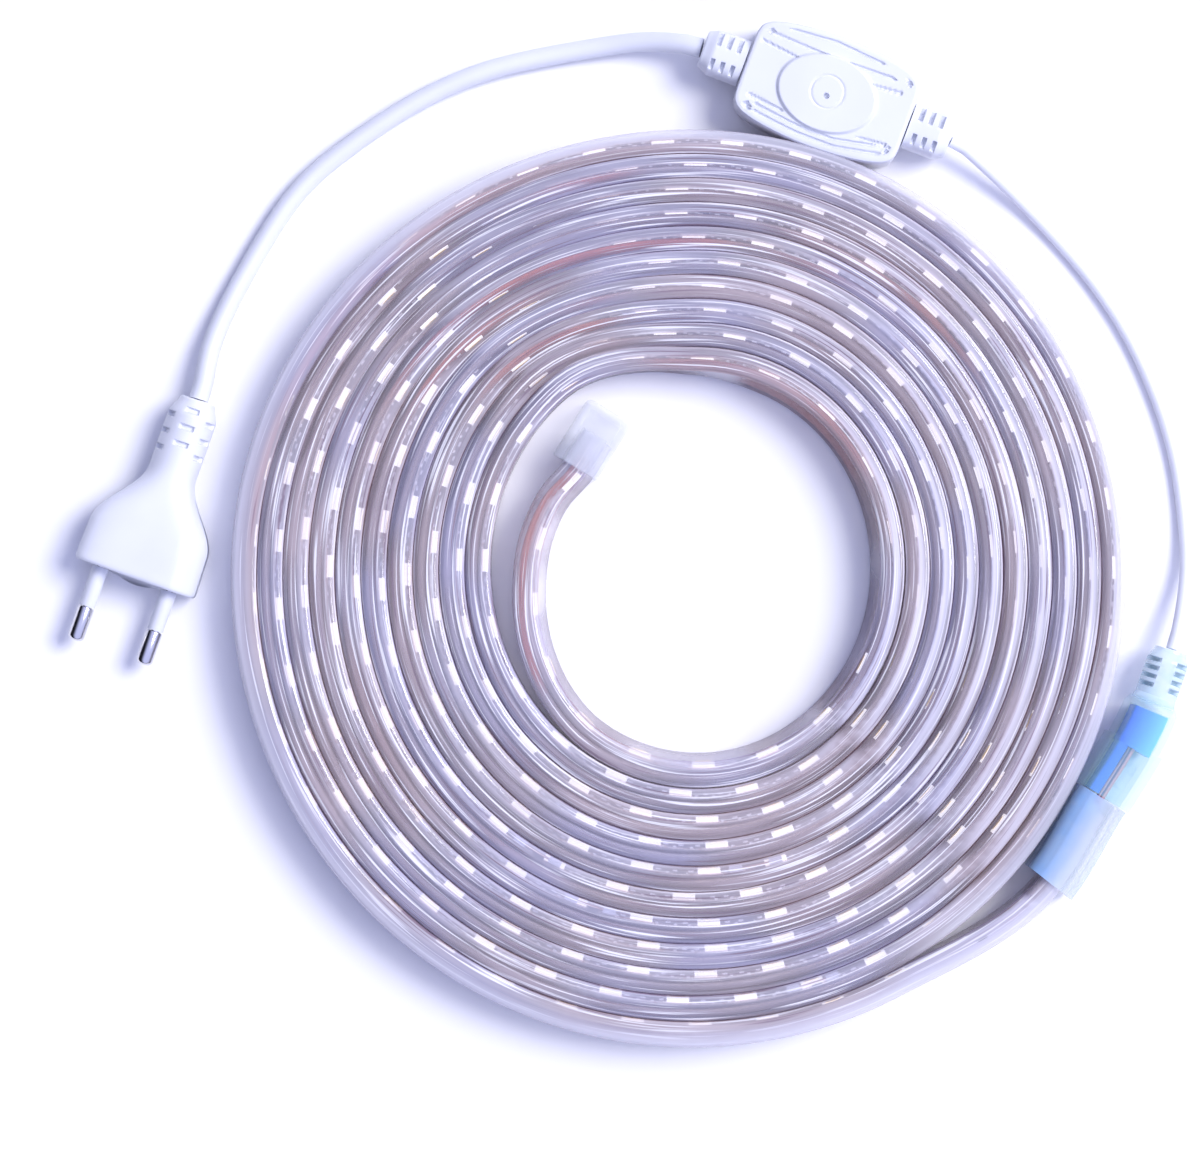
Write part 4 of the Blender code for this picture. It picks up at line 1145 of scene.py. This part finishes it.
def box_outline(angle, inset=0.0):
    """The box's outline at an angle round its middle: a rectangle with bulging long sides.

    A superellipse |x/a|^n + |y/b|^n = 1 with the half width b growing towards the middle of the length.
    """
    a, b, n = BOX_LENGTH / 2 - inset, 0.01125 - inset, 9.0
    c, s = np.cos(angle), np.sin(angle)
    radius = (np.abs(c / a) ** n + np.abs(s / (b + 0.0013)) ** n) ** (-1 / n)
    x, y = radius * c, radius * s
    bulge = 1 + (0.0026 / 0.0125) * (1 - (x / a) ** 2) - 0.0013 / 0.0125
    return x, y * bulge


class STRIP_OT_rectifier(Maker, Operator):
    """Makes the rectifier box and its two strain reliefs"""

    bl_idname = "strip.rectifier"
    bl_label = "Rectifier"

    def make(self, scene):
        white = moulded("white_plastic", tuple(scene.strip_lead.white), 0.38, 0.2)
        angle = np.linspace(0, 2 * math.pi, 240, endpoint=False)

        def ring(share, height, inset=0.0):
            x, y = box_outline(angle, inset)
            return np.stack([x * share, y * share, np.broadcast_to(height, x.shape)], axis=1)

        lower = [ring(0.02, 0.0), ring(0.5, 0.0), ring(1, 0.0, 0.0008), ring(1, 0.0002, 0.0003)]
        lower += [ring(1, 0.0008), ring(1, 0.0040), ring(1, 0.0073), ring(0.9, 0.00735), ring(0.02, 0.00735)]
        grid = set_in(np.array(lower), BOX_PLACE, BOX_TURN)
        grid_piece("rectifier_lower_shell", grid, white, "white_plastic", ["rectifier_base"])
        upper = [ring(0.02, 0.00765), ring(0.9, 0.00765), ring(1, 0.0077), ring(1, 0.0110), ring(1, 0.0134)]
        upper += [ring(1, 0.0140, 0.0003)]
        edge_x, edge_y = box_outline(angle, 0.0008)
        for share in np.linspace(1, 0.02, 90):
            x, y = edge_x * share, edge_y * share
            upper.append(np.stack([x, y, cover_height(x, y)], axis=1))
        grid = set_in(np.array(upper), BOX_PLACE, BOX_TURN)
        grid_piece("rectifier_upper_shell", grid, white, "white_plastic", ["rectifier_cover"], smooth=40)
        for name, sign in (("plug_side", -1), ("strip_side", 1)):
            make_box_relief(name, sign, white)


def groove(x, y, points, width=0.0006, depth=0.0007):
    """The depth of a groove along a line of points: deepest on the line, gone at half its width."""
    found = np.full(np.shape(x), 1e9)
    for (x0, y0), (x1, y1) in zip(points[:-1], points[1:]):
        dx, dy = x1 - x0, y1 - y0
        t = np.clip(((x - x0) * dx + (y - y0) * dy) / (dx * dx + dy * dy), 0, 1)
        found = np.minimum(found, np.hypot(x - x0 - t * dx, y - y0 - t * dy))
    return depth * (1 - smooth_step((found - width * 0.25) / (width * 0.5)))


COVER_GROOVES = [
    [(-0.0129, 0.0112), (-0.0020, 0.0121), (0.0100, 0.0111)],
    [(-0.0168, 0.0088), (-0.0046, 0.0083), (0.0029, 0.0084), (0.0140, 0.0086)],
    [(-0.0190, 0.0063), (-0.0097, 0.0052)],
    [(0.0097, 0.0053), (0.0167, 0.0059)],
    [(-0.0176, -0.0070), (-0.0090, -0.0079)],
    [(-0.0154, -0.0087), (-0.0036, -0.0101), (0.0052, -0.0101), (0.0185, -0.0074)],
    [(-0.0150, -0.0104), (-0.0036, -0.0117), (0.0060, -0.0117), (0.0165, -0.0097)],
    [(0.0108, -0.0077), (0.0173, -0.0071)],
]
COVER_POSTS = [
    (-0.0172, -0.0098, 0.0009),
    (0.0180, -0.0085, 0.0006),
    (0.0178, 0.0088, 0.0006),
    (-0.0176, 0.0092, 0.0006),
]


def cover_height(x, y):
    """The cover's top: flat, a raised oval with a ring edge, grooves, four posts and a lamp hole."""
    height = np.full(np.shape(x), 0.0142)
    oval = np.hypot(x / 0.0125, (y + 0.0004) / 0.0094)
    height += 0.0008 * (1 - smooth_step((oval - 0.94) / 0.07))
    height -= 0.00018 * (1 - smooth_step(np.abs(np.hypot(x / 0.0040, y / 0.0040) - 1) / 0.10))
    for points in COVER_GROOVES:
        height -= groove(x, y, points) * (oval > 0.98)
    for px, py, radius in COVER_POSTS:
        height -= 0.0012 * (1 - smooth_step((np.hypot(x - px, y - py) - radius * 0.7) / (radius * 0.5)))
    height -= 0.0014 * (1 - smooth_step((np.hypot(x, y + 0.0010) - 0.0004) / 0.0004))
    return height


def slotted(angle, along, slots, depth, edge=0.00015):
    """How deep the slots of a strain relief are at each point of its surface.

    Each slot is (middle along, half length along, middle and half angle in degrees); its sides are S curves.
    """
    cut = np.zeros(np.broadcast(angle, along).shape)
    for middle, half, *degrees in slots:
        turn, spread = np.radians(degrees)
        off = np.abs((angle - turn + math.pi) % (2 * math.pi) - math.pi)
        inside = 1 - smooth_step((np.abs(along - middle) - half + edge) / (2 * edge))
        inside = inside * (1 - smooth_step((off - spread + 0.05) / 0.10))
        cut = np.maximum(cut, inside * depth)
    return cut


def relief_grid(length, radius_start, radius_end, squareness, slots, depth):
    """A strain relief along +X from 0: a superellipse section that narrows, with slots pressed in."""
    along = np.linspace(0, length, 120)[:, None]
    angle = np.linspace(0, 2 * math.pi, 96, endpoint=False)[None, :]
    share = smooth_step((along / length - 0.70) / 0.30)
    radius = radius_start + (radius_end - radius_start) * share
    c, s = np.cos(angle), np.sin(angle)
    shape = (np.abs(c) ** squareness + np.abs(s) ** squareness) ** (-1 / squareness)
    reach = radius * shape - slotted(angle, along, slots, depth)
    end = 0.0006
    rounding = np.sqrt(np.clip(1 - np.clip((along - length + end) / end, 0, 1) ** 2, 0, 1))
    reach = reach - end * (1 - rounding)
    return np.stack([np.broadcast_to(along, reach.shape), reach * c, reach * s], axis=-1)


def make_box_relief(name, sign, material):
    turns = ((58, 15), (122, 11), (238, 11), (302, 15))
    slots = [(0.0022 + 0.00255 * row, 0.00045, *turn) for row in range(3) for turn in turns]
    local = relief_grid(BOX_RELIEF_LENGTH, 0.0056, 0.0045, 3.2, slots, 0.0019)
    local[..., 0] = sign * (BOX_LENGTH / 2 + GAP + local[..., 0])
    local[..., 2] += BOX_MIDDLE
    grid, nodes = set_in(local, BOX_PLACE, BOX_TURN), [f"rectifier_relief_{name}"]
    grid_piece(f"rectifier_bush_{name}", grid, material, "white_plastic", nodes, smooth=40)


def plug_body():
    """The plug's body along +Y from its front: superellipse sections that narrow to the relief.

    Its right side slopes down from an edge that runs towards the middle, and its front bulges low down.
    """
    angle = np.linspace(0, 2 * math.pi, 96, endpoint=False)[None, :]
    along = np.concatenate([[0, 0.0003, 0.0008], np.linspace(0.0015, PLUG_BODY_LENGTH, 40)])[:, None]
    share = along / PLUG_BODY_LENGTH
    width = 0.01525 - 0.0008 * share
    width = width + (0.0060 - width) * smooth_step((along - 0.0105) / 0.0165)
    height = PLUG_MIDDLE + (0.0060 - PLUG_MIDDLE) * smooth_step((along - 0.0135) / 0.0150)
    power = 5.0 - 3.0 * smooth_step(share)
    lip = np.array([0.0006, 0.0002, 0.0] + [0.0] * 40)[:, None]
    c, s = np.cos(angle), np.sin(angle)
    shape = (np.abs(c) ** power + np.abs(s) ** power) ** (-1 / power)
    x, z = (width - lip) * shape * c, (height - lip) * shape * s
    edge = 0.0098 - 0.0060 * share**2
    z = z - 0.5 * np.clip(x - edge, 0, 0.01) * (z > 0.0015) * smooth_step((PLUG_BODY_LENGTH - along) / 0.004)
    bulge = 0.0018 * np.clip(1 - (x / 0.0064) ** 2, 0, 1) * smooth_step((0.0030 - z) / 0.0015)
    return np.stack([x, along - bulge * (1 - smooth_step(along / 0.004)), z], axis=-1)


def turned_rings(rows, off):
    """Round sections (distance, radius) along the plug's axis, `off` from its middle."""
    rings = []
    for distance, radius in rows:
        across, up = round_section(radius, 32)
        rings.append(np.stack([across + off, np.full(32, distance), up + PLUG_MIDDLE], axis=1))
    return set_in(np.array(rings), PLUG_PLACE, PLUG_TURN)


class STRIP_OT_plug(Maker, Operator):
    """Makes the plug, its pins and their sleeves"""

    bl_idname = "strip.plug"
    bl_label = "Plug"

    def make(self, scene):
        white = moulded("plug_plastic", tuple(scene.strip_lead.white), 0.36, 0.2)
        metal = nickel_finish()
        slots = []
        for row in range(3):
            slots += [(0.0020 + 0.0042 * row, 0.0006, turn, 17) for turn in (30, 150, 270)]
            slots += [(0.0041 + 0.0042 * row, 0.0006, turn, 17) for turn in (90, 210, 330)]
        relief = relief_grid(PLUG_RELIEF_LENGTH, 0.0060, 0.0044, 2.0, slots, 0.0010)
        turned = relief[..., [1, 0, 2]] + (0, PLUG_BODY_LENGTH + 0.0001, 0)
        local = np.concatenate([plug_body(), turned])
        local[..., 2] += PLUG_MIDDLE
        grid = set_in(local, PLUG_PLACE, PLUG_TURN)
        grid_piece("plug_moulding", grid, white, "white_plastic", ["plug_body"], smooth=40)

        sleeve = [(-0.0003, 0.0015), (-0.0003, 0.0020), (-0.0100, 0.0020)]
        sleeve += [(-0.0103, 0.0019), (-0.0103, 0.0015)]
        pin = [(0.0030, 0.0012), (-0.0105, 0.0012), (-0.0106, 0.0019), (-0.0109, 0.0020), (-0.0178, 0.0020)]
        for turn in (0.3, 0.6, 0.9, 1.2, 1.5):
            pin.append((-0.0178 - 0.0012 * math.sin(turn), 0.0008 + 0.0012 * math.cos(turn)))
        for name, off in (("left", -PIN_OFF), ("right", PIN_OFF)):
            grid, nodes = turned_rings(sleeve, off), [f"plug_sleeve_{name}"]
            grid_piece(f"pin_sleeve_{name}", grid, white, "white_plastic", nodes, round_rows=True)
            grid, nodes = turned_rings(pin, off), [f"plug_pin_{name}"]
            grid_piece(f"pin_{name}", grid, metal, "nickel", nodes, smooth=30)


class STRIP_OT_declare(Maker, Operator):
    """Gathers the names of the plug's pieces into a list, and does nothing more with it"""

    bl_idname = "strip.declare"
    bl_label = "Declare cords"

    def make(self, scene):
        plug = ["rectifier_bush_plug_side", "plug_moulding"]
        plug += ["pin_left", "pin_right", "pin_sleeve_left", "pin_sleeve_right"]


class STRIP_PT_panel(Panel):
    """Lists the strip light's pieces and their settings"""

    bl_label = "Strip Light"
    bl_idname = "STRIP_PT_panel"
    bl_space_type = "VIEW_3D"
    bl_region_type = "UI"
    bl_category = "Strip Light"

    def draw(self, context):
        for operator in OPERATORS:
            self.layout.operator(operator.bl_idname)
        for group in (context.scene.strip_strip, context.scene.strip_lead, context.scene.strip_stage):
            for name in group.__annotations__:
                self.layout.prop(group, name)


OPERATORS = (
    STRIP_OT_stage,
    STRIP_OT_cords,
    STRIP_OT_tube,
    STRIP_OT_ribbon,
    STRIP_OT_leds,
    STRIP_OT_end_cap,
    STRIP_OT_connector,
    STRIP_OT_rectifier,
    STRIP_OT_plug,
    STRIP_OT_declare,
)
GROUPS = {"strip_strip": StripSettings, "strip_lead": LeadSettings, "strip_stage": StageSettings}


def register():
    for item in (*GROUPS.values(), *OPERATORS, STRIP_PT_panel):
        bpy.utils.register_class(item)
    for name, group in GROUPS.items():
        setattr(bpy.types.Scene, name, PointerProperty(type=group))


def unregister():
    for name in GROUPS:
        delattr(bpy.types.Scene, name)
    for item in (STRIP_PT_panel, *reversed(OPERATORS), *reversed(GROUPS.values())):
        bpy.utils.unregister_class(item)


def main():
    register()
    for operator in OPERATORS:
        group, name = operator.bl_idname.split(".")
        getattr(getattr(bpy.ops, group), name)()


if __name__ == "__main__":
    main()
